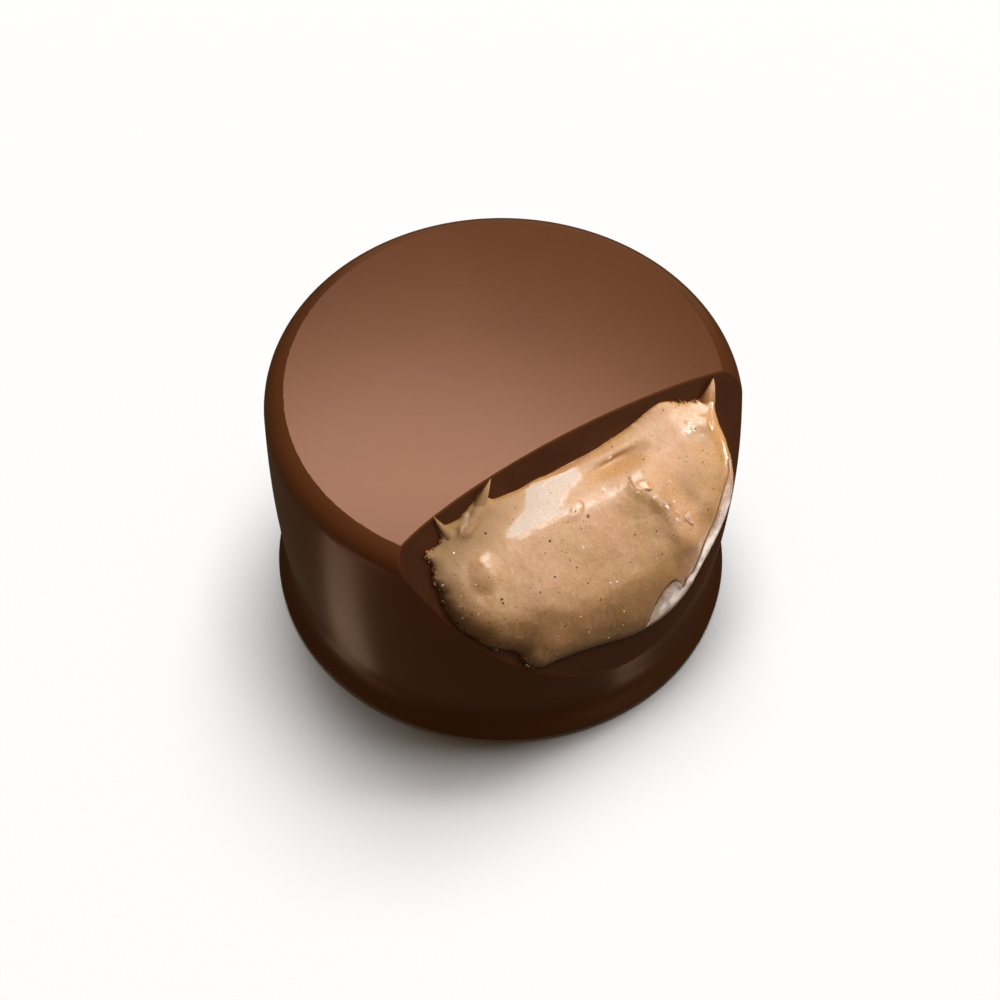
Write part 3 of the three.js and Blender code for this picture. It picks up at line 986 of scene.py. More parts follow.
def seen_at(u, v, h):
    """Point in the bonbon's frame that seems to be at u and v on the slice, at a height above it."""
    return on_slice(u - SIGHT_SHIFT[0] * h, v - SIGHT_SHIFT[1] * h, h)


# Drawn-out peaks: points from root to tip as (u, v, height, half width).
PEAKS = (
    (
        (-6.5, 9.0, -0.25, 0.5), (-6.0, 9.42, 0.08, 0.46), (-5.55, 9.78, 0.26, 0.33),
        (-5.08, 10.15, 0.40, 0.19), (-4.62, 10.55, 0.45, 0.03),
    ),
    (
        (-8.35, 8.9, 0.15, 0.42), (-8.55, 9.5, 0.17, 0.24), (-8.7, 10.0, 0.17, 0.12),
        (-8.78, 10.45, 0.17, 0.02),
    ),
    (
        (9.3, 7.9, -0.15, 0.6), (9.6, 8.35, 0.10, 0.52), (9.88, 8.75, 0.25, 0.36),
        (10.14, 9.12, 0.30, 0.19), (10.34, 9.46, 0.28, 0.02),
    ),
)
PEAK_SIDES = 14
PEAK_STEPS = 7  # rows between two points
PEAK_FLATNESS = 0.6  # thickness as a share of the width


def peak_tool(path):
    """A tapering horn of cream along a path on the slice."""
    path = np.array(path)
    padded = np.concatenate([[2 * path[0] - path[1]], path, [2 * path[-1] - path[-2]]])
    rows = []
    for before, start, end, beyond in zip(padded, padded[1:], padded[2:], padded[3:]):
        rows += [smooth_between(before, start, end, beyond, t) for t in np.arange(PEAK_STEPS) / PEAK_STEPS]
    rows.append(path[-1])
    rows = np.array(rows)
    centres = seen_at(*rows[:, :3].T)
    heading = np.gradient(centres, axis=0)
    heading /= np.linalg.norm(heading, axis=1, keepdims=True)
    sideways = np.cross(heading, OUT)
    sideways /= np.linalg.norm(sideways, axis=1, keepdims=True)
    lifted = np.cross(sideways, heading)
    turns = np.linspace(0, 2 * math.pi, PEAK_SIDES, endpoint=False)
    points, faces = [], []
    for centre, across, up, width in zip(centres, sideways, lifted, rows[:, 3]):
        for turn in turns:
            points.append(centre + width * (math.cos(turn) * across + PEAK_FLATNESS * math.sin(turn) * up))
    for row in range(len(rows) - 1):
        for k in range(PEAK_SIDES):
            a, b = row * PEAK_SIDES + k, row * PEAK_SIDES + (k + 1) % PEAK_SIDES
            faces.append((a, b, b + PEAK_SIDES, a + PEAK_SIDES))
    faces.append(tuple(range(PEAK_SIDES)))
    faces.append(tuple(range(len(points) - PEAK_SIDES, len(points))))
    tool = mesh_object("peak tool", points, faces)
    face_outwards(tool)
    return tool


CREAM_CLEARANCE = 0.02  # between the cream and the chocolate, out of sight
CORE_LIFT = -0.04  # the filling ends this far under the slice, inside the mound
CREAM_SHARP_FROM = 60

CREAM_COLOUR = (0.82, 0.455, 0.168)
CREAM_SHADE = (0.72, 0.35, 0.13)
CREAM_ROSE = (0.86, 0.45, 0.215)
CREAM_THIN_AND_SHADE = (0.41, 0.215, 0.062)  # browner where the cream is low: thin cream over the chocolate, and painted shade at its left and lower border
WET_AND_REFLECTION_TINT = (0.72, 0.78, 0.90)  # multiplies the colour of the wet patch: partly wet darkening, partly a painted tint for the reflection there
SPECK_BROWN = (0.10, 0.030, 0.012)
SPECK_RED = (0.45, 0.13, 0.04)

cream_finish, sheet = finish_sheet("nut cream")
spot = sheet.place()
wet = sheet.add("ShaderNodeAttribute", {"attribute_name": "wet"}, {}).of("Fac")
patch = sheet.add("ShaderNodeAttribute", {"attribute_name": "patch"}, {}).of("Fac")
clouds = sheet.add("ShaderNodeTexNoise", {}, {"Vector": spot, "Scale": 0.35, "Detail": 4.0}).of("Fac")
mottle = sheet.add("ShaderNodeTexNoise", {}, {"Vector": spot, "Scale": 1.6, "Detail": 3.0}).of("Fac")
fine = sheet.add("ShaderNodeTexNoise", {}, {"Vector": spot, "Scale": 9.0, "Detail": 2.0}).of("Fac")
colour = sheet.mix(clouds.between(0.35, 0.68), CREAM_COLOUR, CREAM_ROSE)
colour = sheet.mix(mottle.between(0.45, 0.72) * 0.35, colour, CREAM_SHADE)
colour = sheet.mix(fine.between(0.42, 0.60) * 0.75, colour, CREAM_SHADE)
# Browner where the cream is thin, made strongest at its left and lower border as painted shade.
thin = sheet.add("ShaderNodeAttribute", {"attribute_name": "thin"}, {}).of("Fac")
colour = sheet.mix(thin, colour, CREAM_THIN_AND_SHADE)
# The wet patch is darker and cooler: partly wet cream, partly a painted tint for the reflection there.
colour = sheet.mix(patch, colour, sheet.mix(1.0, colour, WET_AND_REFLECTION_TINT, "MULTIPLY"))
cells = sheet.add("ShaderNodeTexVoronoi", {}, {"Vector": spot, "Scale": 1.7, "Randomness": 1.0})
chance = sheet.add("ShaderNodeSeparateColor", {}, {"Color": cells.of("Color")})
speck_size = chance.of("Green") * 0.05 + 0.04
picked = chance.of("Red").math("GREATER_THAN", 0.6)
speck = (1 - (cells.of("Distance") / speck_size).between(0.75, 1.15)) * picked
colour = sheet.mix(speck * 0.7, colour, SPECK_BROWN)
dots = sheet.add("ShaderNodeTexVoronoi", {}, {"Vector": spot, "Scale": 2.9, "Randomness": 1.0})
luck = sheet.add("ShaderNodeSeparateColor", {}, {"Color": dots.of("Color")})
dot = (1 - dots.of("Distance").between(0.06, 0.15)) * luck.of("Red").math("GREATER_THAN", 0.5)
colour = sheet.mix(dot * 0.5, colour, SPECK_RED)
dryness = 0.40 - 0.27 * wet + 0.10 * (mottle - 0.5) + 0.3 * thin
bump = sheet.add(
    "ShaderNodeBump", {}, {"Strength": 0.25, "Distance": 0.03 * MM, "Height": fine * 0.7 + mottle * 0.8}
)
body = sheet.add(
    "ShaderNodeBsdfPrincipled",
    {"subsurface_method": "RANDOM_WALK"},
    {
        "Base Color": colour, "Roughness": dryness, "Normal": bump, "IOR": 1.45,
        "Subsurface Weight": 0.2, "Subsurface Radius": (1.0, 0.5, 0.25), "Subsurface Scale": 0.6 * MM,
    },
)
sheet.add("ShaderNodeOutputMaterial", {}, {"Surface": body})

cream = new_object("nut_cream_body", mound)
for path in PEAKS:
    join_or_cut(cream, peak_tool(path), "UNION")
core = turned_body(
    "core tool",
    hollow_outline(
        HOLLOW_WALL + CREAM_CLEARANCE, HOLLOW_CEILING + CREAM_CLEARANCE, HOLLOW_FLOOR + CREAM_CLEARANCE
    ),
    HOLLOW_STEPS, cream_finish, 0.0,
)
join_or_cut(core, sliced_off(CORE_LIFT), "DIFFERENCE")
join_or_cut(cream, core, "UNION")
cream.data.materials.clear()
cream.data.materials.append(cream_finish)
cream.data.polygons.foreach_set("material_index", [0] * len(cream.data.polygons))
smooth_shaded(cream, CREAM_SHARP_FROM)
cream.data.name = cream.name

# Where the surface is wet and smooth, as seen from the front.
RIGHT_SHEEN = smooth_loop(np.array([
    (7.3, 9.2), (8.7, 8.6), (9.7, 8.9), (10.2, 8.6), (9.95, 7.0), (9.95, 4.8), (9.1, 4.2),
    (9.0, 5.8), (8.0, 6.3), (7.4, 7.4),
]), 4)
TIP_SHEEN = smooth_loop(np.array([
    (-7.68, 9.01), (-7.3, 9.5), (-6.4, 9.75), (-5.3, 10.2), (-5.6, 9.8), (-6.35, 9.32),
    (-6.66, 8.95), (-7.23, 9.03),
]), 4)
WET_RIDGE = ((0.2, 6.2), (2.4, 5.9), (3.8, 5.6), (4.6, 4.4), (5.2, 2.8))
WET_LUMP = (-7.1, 6.3)

places = np.empty(len(cream.data.vertices) * 3)
cream.data.vertices.foreach_get("co", places)
places = places.reshape(-1, 3) / MM
flat = np.stack([places @ ALONG, places @ UPSLOPE], axis=1)
raised = places @ OUT - slice_height(*flat.T)
at = seen(flat, raised)
drift = np.stack([wander(flat, 0.45, 31.0), wander(flat, 0.45, 32.0)], axis=1)
wet = np.maximum.reduce([
    within(at + 0.12 * drift, PATCH, 0.24),
    within(at, TIP_SHEEN, 0.1),
    0.9 * within(at, RIGHT_SHEEN, 0.4),
    *(0.7 * bulge(at, (u, v), 1.5 * r, r, turn) for u, v, r, turn in DROPS),
    0.6 * bulge(at, WET_LUMP, 0.5, 0.4),
    0.7 * ridge(at, WET_RIDGE, 0.5),
    *(in_glint(at, glint) for glint in GLINTS),
])
# Painted shade: the browner tint is strongest at the left end and low down, where shade falls.
shaded_low_or_left = np.maximum(1 - smooth_step(flat[:, 0], -8.0, -1.0), 1 - smooth_step(flat[:, 1], -1.0, 3.0))
for key, share in (
    ("wet", wet),
    ("patch", within(at, PATCH, 0.35) ** 3),
    ("thin", (1 - smooth_step(raised, 0.1, 1.7)) * (0.1 + 0.9 * shaded_low_or_left)),
):
    cream.data.attributes.new(key, "FLOAT", "POINT").data.foreach_set("value", share)
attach(cream, "root")
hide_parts("nut_cream")


# ---- Clear oil ---------------------------------------------------------------------------------
# Nut oil that has seeped out of the cream and stands as a clear crescent along its lower right
# border, held there by its own surface.

OIL_THICKNESS = 0.09
OIL_FILLS = 0.6  # the oil fills this share of the step down from the cream
OIL_MENISCUS = 0.30  # the oil thins out over this distance from its border
OIL_BORDER = 0.15  # and over this distance from the mound's outline
OIL_TAIL = (0.6, 2.4)  # along the slice, it begins at the first place and is whole from the second
OIL_WRAP = 0.05  # it reaches this far into the cream
OIL_SMOOTHING = 30
OIL_SHARP_FROM = 50

work = flat_patch()
spots = np.array([v.co.xy for v in work.verts])
at = seen(spots, mound_height(spots, from_border(spots), OIL_STEP))
inside = inside_loop(OIL_REGION, at)
bmesh.ops.delete(work, geom=[v for v, kept in zip(list(work.verts), inside) if not kept], context="VERTS")
drop_islands(work)
for _ in range(3):
    ears = [f for f in work.faces if sum(e.is_boundary for e in f.edges) > 2]
    bmesh.ops.delete(work, geom=ears, context="FACES")
    pinched = [v for v in work.verts if sum(e.is_boundary for e in v.link_edges) > 2 or not v.link_faces]
    bmesh.ops.delete(work, geom=pinched, context="VERTS")
    drop_islands(work)
border = border_loop(work)
spots = np.array([v.co.xy for v in border])
from_edge = from_border(spots)
at = seen(spots, mound_height(spots, from_edge, OIL_STEP))
gap, target = nearest_on(oil_path, at, closed=False)
pull = ((gap < 2 * CREAM_STEP) & (from_edge > CREAM_STEP))[:, None] * (target - at)
for vertex, spot in zip(border, spots + pull):
    vertex.co.xy = spot
spots = np.array([v.co.xy for v in work.verts])
from_edge = from_border(spots)
base = mound_height(spots, from_edge, OIL_STEP)
filled = mound_height(spots, from_edge, 0.0)
from_cream, _ = nearest_on(oil_path, seen(spots, base), closed=False)
tail = smooth_step(spots[:, 0], *OIL_TAIL)
rise = np.sqrt(np.clip(1 - (1 - np.clip(from_cream / OIL_MENISCUS, 0, 1)) ** 2, 0, 1))
depth = OIL_THICKNESS * (0.2 + 0.8 * rise) + OIL_FILLS * (filled - base)
depth = depth * tail * np.sqrt(np.clip(from_edge / OIL_BORDER, 0, 1))
for vertex, height in zip(work.verts, base + depth):
    vertex.co.z = height
loose = [v for v in work.verts if not v.is_boundary]
for _ in range(OIL_SMOOTHING):
    bmesh.ops.smooth_vert(work, verts=loose, factor=0.5, use_axis_z=True)
top_places = np.column_stack([spots, [v.co.z for v in work.verts]])
low_places = np.column_stack([spots, base - OIL_WRAP])
index_of = {vertex: k for k, vertex in enumerate(work.verts)}
faces = [tuple(index_of[v] for v in face.verts) for face in work.faces]
count = len(spots)
faces += [tuple(count + k for k in reversed(face)) for face in faces]
ring = [index_of[v] for v in border]
faces += [(a, b, b + count, a + count) for a, b in zip(ring, ring[1:] + ring[:1])]
work.free()
points = np.concatenate([on_slice(*top_places.T), on_slice(*low_places.T)])
oil = mesh_object("clear_oil", points, faces)
face_outwards(oil)
smooth_shaded(oil, OIL_SHARP_FROM)

OIL_COLOUR = (0.80, 0.62, 0.48)
OIL_CLEAR = (0.62, 0.42, 0.28)

oil_finish, sheet = finish_sheet("clear nut oil")
spot = sheet.place()
streaks = sheet.add("ShaderNodeTexNoise", {}, {"Vector": spot, "Scale": 0.9, "Detail": 2.0}).of("Fac")
cover = 0.35 + 0.35 * streaks.between(0.35, 0.7)
body = sheet.add(
    "ShaderNodeBsdfPrincipled",
    {},
    {
        "Base Color": sheet.mix(streaks.between(0.3, 0.6), OIL_CLEAR, OIL_COLOUR),
        "Roughness": 0.28, "IOR": 1.47, "Alpha": cover,
    },
)
sheet.add("ShaderNodeOutputMaterial", {}, {"Surface": body})
oil.data.materials.append(oil_finish)
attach(oil, "root")


# ---- Nut bits, specks and wet beads ------------------------------------------------------------
# Ground roasted nuts in the cream: pinkish bits, dark and reddish specks of their skins, and small
# pale wet beads at the surface, partly froth and partly painted glints. Chocolate crumbs from the
# slicing stick along the left border.

SEED = 7
LUMP_NUDGE = 0.06  # the way out of the cream is taken over this distance


def scatter_tree():
    """Geometry nodes that set a small rounded lump on every point, along its way, and make it real."""
    tree = bpy.data.node_groups.new("set lumps on points", "GeometryNodeTree")
    sheet = NodeSheet(tree)
    for name, kind in (
        ("Points", "NodeSocketGeometry"), ("Fineness", "NodeSocketInt"), ("Stretch", "NodeSocketVector"),
        ("Roughening", "NodeSocketFloat"), ("Seed", "NodeSocketInt"), ("Finish", "NodeSocketMaterial"),
    ):
        tree.interface.new_socket(name, in_out="INPUT", socket_type=kind)
    tree.interface.new_socket("Lumps", in_out="OUTPUT", socket_type="NodeSocketGeometry")
    given = sheet.add("NodeGroupInput", {}, {})
    ball = sheet.add("GeometryNodeMeshIcoSphere", {}, {"Radius": 1.0, "Subdivisions": given.of("Fineness")})
    size = sheet.add("GeometryNodeInputNamedAttribute", {"data_type": "FLOAT"}, {"Name": "size"})
    way = sheet.add("GeometryNodeInputNamedAttribute", {"data_type": "FLOAT_VECTOR"}, {"Name": "way"})
    upright = sheet.add("FunctionNodeAlignRotationToVector", {"axis": "Z"}, {"Vector": way})
    spin = sheet.add(
        "FunctionNodeRandomValue", {"data_type": "FLOAT"}, {2: 0.0, 3: math.tau, "Seed": given.of("Seed")}
    )
    twist = sheet.add("ShaderNodeCombineXYZ", {}, {"Z": spin})
    turned = sheet.add("FunctionNodeRotateRotation", {"rotation_space": "LOCAL"}, {0: upright, 1: twist})
    scale = sheet.add("ShaderNodeVectorMath", {"operation": "SCALE"}, {0: given.of("Stretch"), "Scale": size})
    placed = sheet.add(
        "GeometryNodeInstanceOnPoints",
        {},
        {"Points": given.of("Points"), "Instance": ball.of("Mesh"), "Rotation": turned, "Scale": scale},
    )
    real = sheet.add("GeometryNodeRealizeInstances", {}, {"Geometry": placed})
    spot = sheet.add("GeometryNodeInputPosition", {}, {})
    dents = sheet.add(
        "ShaderNodeTexNoise", {"noise_dimensions": "3D"}, {"Vector": spot, "Scale": 3.2 / MM, "Detail": 1.0}
    ).of("Color")
    centred = sheet.add("ShaderNodeVectorMath", {"operation": "SUBTRACT"}, {0: dents, 1: (0.5, 0.5, 0.5)})
    push = sheet.add(
        "ShaderNodeVectorMath", {"operation": "SCALE"}, {0: centred, "Scale": given.of("Roughening")}
    )
    rough = sheet.add("GeometryNodeSetPosition", {}, {"Geometry": real, "Offset": push})
    smooth = sheet.add("GeometryNodeSetShadeSmooth", {}, {0: rough})
    done = sheet.add("GeometryNodeSetMaterial", {}, {"Geometry": smooth, "Material": given.of("Finish")})
    sheet.add("NodeGroupOutput", {}, {"Lumps": done})
    return tree


scattering = scatter_tree()


def lumps(name, spots, sizes, sunk, stretch, fineness, roughening, material):
    """Lumps on the cream at places on the slice, with their radii in millimetres."""
    spots, sizes = np.asarray(spots, dtype=float), np.asarray(sizes, dtype=float)
    level = []
    for shift in ((0, 0), (LUMP_NUDGE, 0), (0, LUMP_NUDGE)):
        near = spots + np.array(shift)
        level.append(on_slice(*near.T, mound_height(near, from_border(near), OIL_STEP)))
    ways = np.cross(level[1] - level[0], level[2] - level[0])
    ways /= np.linalg.norm(ways, axis=1, keepdims=True)
    points = level[0] - ways * (sizes * sunk)[:, None]
    piece = mesh_object(name, points, [])
    for key, kind, values in (("size", "FLOAT", sizes * MM), ("way", "FLOAT_VECTOR", ways)):
        field = "value" if kind == "FLOAT" else "vector"
        piece.data.attributes.new(key, kind, "POINT").data.foreach_set(field, values.ravel())
    apply_tree(piece, scattering, {
        "Fineness": fineness, "Stretch": stretch, "Roughening": roughening * MM, "Seed": SEED,
        "Finish": material,
    })
    piece.data.name = name
    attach(piece, "root")
    return piece


def random_spots(count, margin, draw):
    """Places spread over the cream, at least a margin from its border."""
    found = []
    while len(found) < count:
        spots = draw.uniform(loop.min(axis=0), loop.max(axis=0), (count, 2))
        found += list(spots[inside_loop(loop, spots) & (from_border(spots) > margin)])
    return np.array(found[:count])


def lump_finish(name, dark, light, roughness, glow):
    """Finish of the bits: colour that varies from bit to bit."""
    material, sheet = finish_sheet(name)
    spot = sheet.place()
    patches = sheet.add("ShaderNodeTexNoise", {}, {"Vector": spot, "Scale": 1.7, "Detail": 2.0}).of("Fac")
    body = sheet.add(
        "ShaderNodeBsdfPrincipled",
        {},
        {
            "Base Color": sheet.mix(patches.between(0.35, 0.65), dark, light), "Roughness": roughness,
            "IOR": 1.45, "Subsurface Weight": glow, "Subsurface Radius": (1.0, 0.6, 0.35),
            "Subsurface Scale": 0.5 * MM,
        },
    )
    sheet.add("ShaderNodeOutputMaterial", {}, {"Surface": body})
    return material


draw = np.random.default_rng(SEED)
BEADS_IN_DROP = 9
LEFT_CRUMBS = 120
TOP_CRUMBS = 22

# The specks and nut bits that stand out, as seen from the front, with their half widths.
LARGE_SPECKS = (
    (0.18, 5.54, 0.11), (-6.17, 7.89, 0.09), (-2.63, 5.44, 0.08), (-6.79, 4.0, 0.09), (-6.82, 3.74, 0.08),
    (-3.16, 3.39, 0.065), (-1.67, 3.17, 0.06), (-1.36, 1.94, 0.06), (-1.01, 0.62, 0.07), (-3.69, 0.4, 0.06),
    (-3.76, 0.9, 0.05), (-5.28, -0.21, 0.05), (-7.72, 2.19, 0.05), (-8.92, 4.2, 0.06), (-4.38, 3.06, 0.06),
    (-4.86, 3.62, 0.05), (3.84, 2.56, 0.065), (3.69, 1.11, 0.06), (2.49, 3.03, 0.055), (8.01, 4.98, 0.06),
    (7.35, 2.15, 0.06), (5.19, 3.58, 0.05), (4.41, -0.14, 0.06), (3.39, 6.33, 0.05), (4.66, 6.9, 0.055),
    (6.88, 9.07, 0.05), (3.13, 8.55, 0.05), (4.78, 1.79, 0.055),
)
LARGE_BITS = (
    (5.98, 2.4, 0.34), (6.02, 1.95, 0.30), (5.37, 3.6, 0.14), (5.02, 4.03, 0.11), (5.86, 3.34, 0.12),
)

# Paths that wet beads and froth follow.
CREST = np.array([
    (-3.2, 6.5), (-1.2, 6.5), (0.6, 6.2), (2.4, 5.8), (3.7, 5.4), (4.5, 4.4), (4.9, 3.4), (5.2, 2.4),
])
UPPER_BORDER = np.array([(-1.5, 8.93), (1.0, 8.83), (3.4, 9.0), (6.6, 9.5), (8.9, 8.7)])


def along(path, count, spread):
    """Random places along a path."""
    legs = draw.integers(0, len(path) - 1, count)
    spots = path[legs] + (path[legs + 1] - path[legs]) * draw.uniform(0, 1, (count, 1))
    return spots + draw.normal(0, spread, (count, 2))


def with_large(large, spots, low, high):
    """The small places and sizes together with the large ones."""
    large = np.array(large)
    sizes = low + (high - low) * draw.uniform(0, 1, len(spots)) ** 2
    return np.concatenate([true_place(large[:, :2]), spots]), np.concatenate([large[:, 2], sizes])


speck_finish = lump_finish("dark nut skin", (0.11, 0.032, 0.012), (0.28, 0.085, 0.03), 0.4, 0.0)
spots, sizes = with_large(LARGE_SPECKS, random_spots(260, 0.25, draw), 0.018, 0.045)
lumps("skin_specks", spots, 1.25 * sizes, 0.2, (1.0, 0.8, 0.5), 2, 0.03, speck_finish)
red_finish = lump_finish("reddish nut skin", (0.42, 0.12, 0.035), (0.55, 0.20, 0.07), 0.35, 0.2)
spots, sizes = with_large(((-3.65, 2.0, 0.05),), random_spots(420, 0.2, draw), 0.018, 0.045)
lumps("red_specks", spots, sizes, 0.4, (1.0, 0.8, 0.6), 1, 0.02, red_finish)
# Wet beads and froth, paler than the cream: partly pale froth, partly painted glints where the cream
# sparkles.
bead_glint_finish = lump_finish("wet bead", (0.88, 0.58, 0.36), (0.95, 0.76, 0.58), 0.08, 0.2)
small_beads = np.concatenate([true_place(along(CREST, 70, 0.3)), random_spots(120, 0.3, draw)])
spots, sizes = [small_beads], [draw.uniform(0.015, 0.045, len(small_beads))]
for u, v, half_width, turn in DROPS:
    reach = draw.normal(0, 0.5, (BEADS_IN_DROP, 2)) * half_width * np.array([1.5, 0.7])
    cosine, sine = math.cos(math.radians(turn)), math.sin(math.radians(turn))
    spots.append(true_place(np.array([u, v]) + reach @ np.array([[cosine, sine], [-sine, cosine]])))
    sizes.append(half_width * draw.uniform(0.2, 0.5, BEADS_IN_DROP))
spots, sizes = np.concatenate(spots), np.concatenate(sizes)
froth = along(UPPER_BORDER, 50, 0.04)
spots = np.concatenate([spots, froth - SIGHT_SHIFT * 0.1])
sizes = np.concatenate([sizes, draw.uniform(0.015, 0.03, len(froth))])
beads = lumps("wet_beads_and_glints", spots, 1.2 * sizes, 0.2, (1.5, 0.8, 0.4), 2, 0.12, bead_glint_finish)
nut_finish = lump_finish("pink nut", (0.72, 0.25, 0.13), (0.84, 0.50, 0.34), 0.2, 0.3)
spots, sizes = with_large(LARGE_BITS, random_spots(14, 0.8, draw), 0.05, 0.09)
lumps("nut_bits", spots, sizes, 0.4, (1.25, 0.75, 0.6), 3, 0.12, nut_finish)

# Chocolate crumbs that the knife left along the border.
left_border = loop[(loop[:, 0] < -6.6) & (loop[:, 1] < 9.2)]
top_border = loop[(loop[:, 0] > 7.4) & (loop[:, 0] < 9.3) & (loop[:, 1] > 7.5)]
left_crumbs = left_border[draw.integers(0, len(left_border), LEFT_CRUMBS)]
top_crumbs = top_border[draw.integers(0, len(top_border), TOP_CRUMBS)]
spots = np.concatenate([left_crumbs, top_crumbs]) + draw.normal(0, 0.07, (LEFT_CRUMBS + TOP_CRUMBS, 2))
sizes = 0.03 + 0.09 * draw.uniform(0, 1, len(spots)) ** 2.5
crumb_finish = lump_finish("chocolate crumb", (0.16, 0.045, 0.016), (0.42, 0.16, 0.07), 0.35, 0.1)
lumps("crumbs", spots, sizes, 0.1, (1.2, 0.8, 0.7), 2, 0.12, crumb_finish)


# ---- Studio ------------------------------------------------------------------------------------
# A white floor and background. Soft lights overhead and behind shine on the top, low warm ones give
# the streaks on the wall, and the cream, the oil and the floor have lights of their own.

FLOOR_SPAN = 6000.0
FLOOR_DROP = 0.02
FLOOR_LIGHT_HEIGHT = 10000

floor_finish, sheet = finish_sheet("white floor")
body = sheet.add("ShaderNodeBsdfDiffuse", {}, {"Color": (0.86, 0.86, 0.86, 1.0)})
sheet.add("ShaderNodeOutputMaterial", {}, {"Surface": body})
half = FLOOR_SPAN / 2
corners = [(x * half, y * half, -FLOOR_DROP) for x, y in ((-1, -1), (1, -1), (1, 1), (-1, 1))]
floor = mesh_object("floor", corners, [(0, 1, 2, 3)])
floor.data.materials.append(floor_finish)
floor.visible_glossy = False
floor.visible_diffuse = False
floor.visible_transmission = False
floor.visible_shadow = False

WHITE = (1.0, 1.0, 1.0)
GLOW = (0.070, 0.052, 0.034)  # what the surroundings add to the shadows

world = bpy.data.worlds.new("studio")
bpy.context.scene.world = world
world.use_nodes = True
sheet = NodeSheet(world.node_tree)
seen_directly = sheet.add("ShaderNodeLightPath", {}, {}).of("Is Camera Ray")
surroundings = sheet.mix(seen_directly, GLOW, WHITE)
glow = sheet.add("ShaderNodeBackground", {}, {"Color": surroundings, "Strength": 1.0})
sheet.add("ShaderNodeOutputWorld", {}, {"Surface": glow})

# What each light falls on.
chocolate_only, cream_only, beads_only, floor_only, oil_only = (
    bpy.data.collections.new(f"{thing} only") for thing in ("chocolate", "cream", "beads", "floor", "oil")
)
beads_only.objects.link(beads)
oil_only.objects.link(oil)
chocolate_only.objects.link(shell)
floor_only.objects.link(floor)
for piece in bpy.context.scene.objects:
    if piece.type == "MESH" and piece not in (shell, floor) and "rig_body" in piece:
        cream_only.objects.link(piece)


def light(name, place, aim, size, brightness, tint, lit, effect):
    """A rectangular soft light that shines from a place on an aim, in millimetres."""
    lamp = bpy.data.lights.new(name, "AREA")
    lamp.shape = "RECTANGLE"
    lamp.size, lamp.size_y = (MM * side for side in size)
    lamp.energy = brightness * math.pi * lamp.size * lamp.size_y
    lamp.color = tint
    holder = bpy.data.objects.new(name, lamp)
    bpy.context.scene.collection.objects.link(holder)
    way = Vector(place) - Vector(aim)
    holder.location = Vector(place) * MM
    holder.rotation_euler = way.to_track_quat("Z", "Y").to_euler()
    holder.visible_camera = False
    holder.visible_glossy = effect == "shine"
    holder.visible_diffuse = effect == "matt"
    holder.visible_transmission = effect == "matt"
    holder.light_linking.receiver_collection = lit


def off(aim, direction, distance):
    """The place at a distance from an aim, in a direction."""
    return Vector(aim) + Vector(direction).normalized() * distance


NEUTRAL = WHITE
WARM = (1.0, 0.72, 0.50)
MIDDLE = (0.0, 0.0, 8.0)

# Soft lights on the chocolate. The matt ones only brighten it, the others only shine on it.
CUT_LEFT = (-5, -12, 16)
CUT_LEFT_LIGHT = off(CUT_LEFT, (0.98, -0.15, 0.12), 140)
for name, place, aim, size, brightness, tint, effect in (
    ("top fill", (0, 16, 77), (0, 16, 0), (75, 30), 2.2, NEUTRAL, "matt"),
    ("front fill", (0, -30, 77), (0, -30, 0), (28, 28), 3.1, NEUTRAL, "matt"),
    ("right fill", (60, 0, 77), (60, 0, 0), (28, 28), 3.9, NEUTRAL, "matt"),
    ("low left fill", (-119, -32, -78), MIDDLE, (44, 44), 2.5, NEUTRAL, "matt"),
    ("low right fill", (119, -32, -78), MIDDLE, (44, 44), 1.6, NEUTRAL, "matt"),
    ("top shine", (-7.5, 34.5, 77), (-7.5, 34.5, 0), (42, 18), 11.0, NEUTRAL, "shine"),
    ("top shine behind", (-8.5, 46, 77), (-8.5, 46, 0), (24, 12), 5.5, NEUTRAL, "shine"),
    ("top shine right", (9.5, 42, 77), (9.5, 42, 0), (24, 14), 2.2, NEUTRAL, "shine"),
    ("back rim shine", (10, 110, 35), MIDDLE, (120, 60), 0.5, WARM, "shine"),
    ("wall shine left", (-106, -61, -78), MIDDLE, (44, 44), 0.5, WARM, "shine"),
    ("cut shine", (105, -105, 29), MIDDLE, (44, 44), 1.7, NEUTRAL, "shine"),
    ("cut shine left", CUT_LEFT_LIGHT, CUT_LEFT, (30, 30), 1.2, NEUTRAL, "shine"),
    ("left streak", (-52, -8.5, -60), (-17.6, 17.1, 5), (19, 36), 0.64, WARM, "shine"),
    ("right streak", (47, -17, -60), (24, 17.7, 5), (14, 26), 0.6, WARM, "shine"),
):
    light(name, place, aim, size, brightness, tint, chocolate_only, effect)

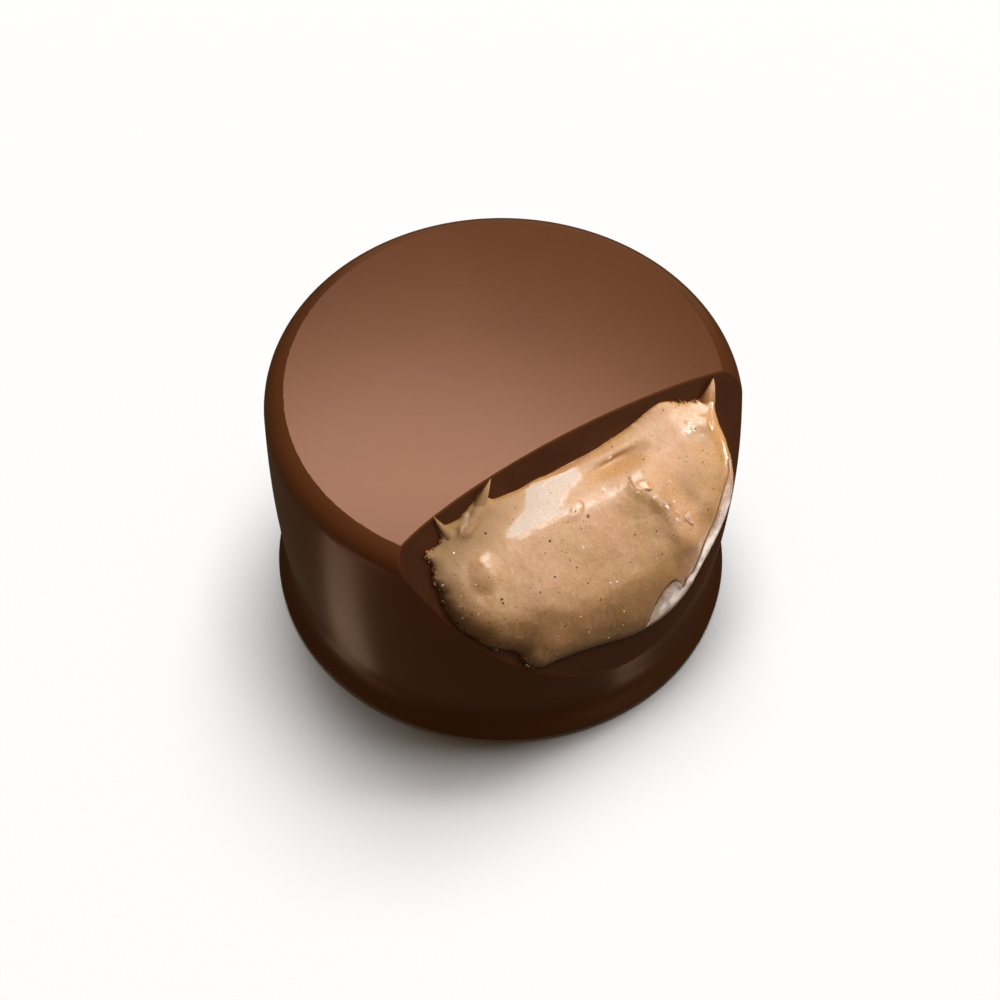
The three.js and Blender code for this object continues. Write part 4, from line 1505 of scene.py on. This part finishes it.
# Lights on the cream and the oil, each in a direction from the middle of the cream.
CREAM_AIM = (3.0, -6.0, 13.0)
for name, direction, distance, size, brightness, lit, effect in (
    ("cream key", (0.58, 0.33, 0.75), 120, (45, 45), 22.5, cream_only, "matt"),
    ("cream fill", (0.85, -0.2, 0.5), 150, (90, 90), 0.5, cream_only, "matt"),
    ("cream shine", (0.322, 0.177, 0.929), 150, (46, 46), 13.0, cream_only, "shine"),
    ("cream sheen", (0.73, -0.3, 0.6), 150, (80, 80), 4.8, cream_only, "shine"),
    ("cream front sheen", (0.84, -0.48, 0.22), 150, (80, 80), 2.6, cream_only, "shine"),
    ("tip shine", (0.469, -0.132, 0.873), 150, (26, 26), 20.0, cream_only, "shine"),
    ("oil light", (0.7, -0.7, 0.1), 150, (50, 50), 9.0, oil_only, "matt"),
    ("cream upper sheen", (0.55, -0.06, 0.82), 150, (64, 64), 6.0, cream_only, "shine"),
    ("lump shine", (0.195, -0.535, 0.823), 150, (24, 24), 14.0, cream_only, "shine"),
    ("bead light", (0.5, -0.2, 0.9), 120, (40, 40), 16.0, beads_only, "matt"),
    ("cream side shine", (0.972, 0.195, -0.137), 120, (18, 34), 18.0, cream_only, "shine"),
    ("oil shine", (0.84, -0.14, -0.52), 120, (64, 60), 8.0, oil_only, "shine"),
    ("cream edge shine", (0.66, 0.25, -0.70), 100, (26, 26), 6.0, cream_only, "shine"),
):
    light(name, off(CREAM_AIM, direction, distance), CREAM_AIM, size, brightness, NEUTRAL, lit, effect)

for name, aim, size, brightness in (
    ("floor light", (400, 2200), (5600, 4000), 9.4),
    ("floor light behind", (700, 6000), (6800, 6500), 7.3),
):
    light(name, (*aim, FLOOR_LIGHT_HEIGHT), (*aim, 0), size, brightness, NEUTRAL, floor_only, "matt")

CAMERA_RISE = math.radians(53.2323)
CAMERA_ROLL = math.radians(1.1738)
CAMERA_DISTANCE = 169.92
CAMERA_AIM = (-0.1145, 0.0, 5.704)
LENS = 100.0

camera = bpy.data.objects.new("camera", bpy.data.cameras.new("camera"))
bpy.context.scene.collection.objects.link(camera)
camera.data.lens = LENS
camera.data.sensor_width = 36.0
camera.data.clip_start, camera.data.clip_end = 0.01, 10.0
back = Vector((0.0, -math.cos(CAMERA_RISE), math.sin(CAMERA_RISE)))
camera.location = (Vector(CAMERA_AIM) + back * CAMERA_DISTANCE) * MM
tilt = Matrix.Rotation(math.pi / 2 - CAMERA_RISE, 3, "X") @ Matrix.Rotation(CAMERA_ROLL, 3, "Z")
camera.rotation_euler = tilt.to_euler()
bpy.context.scene.camera = camera
bpy.context.scene.view_settings.view_transform = "Standard"
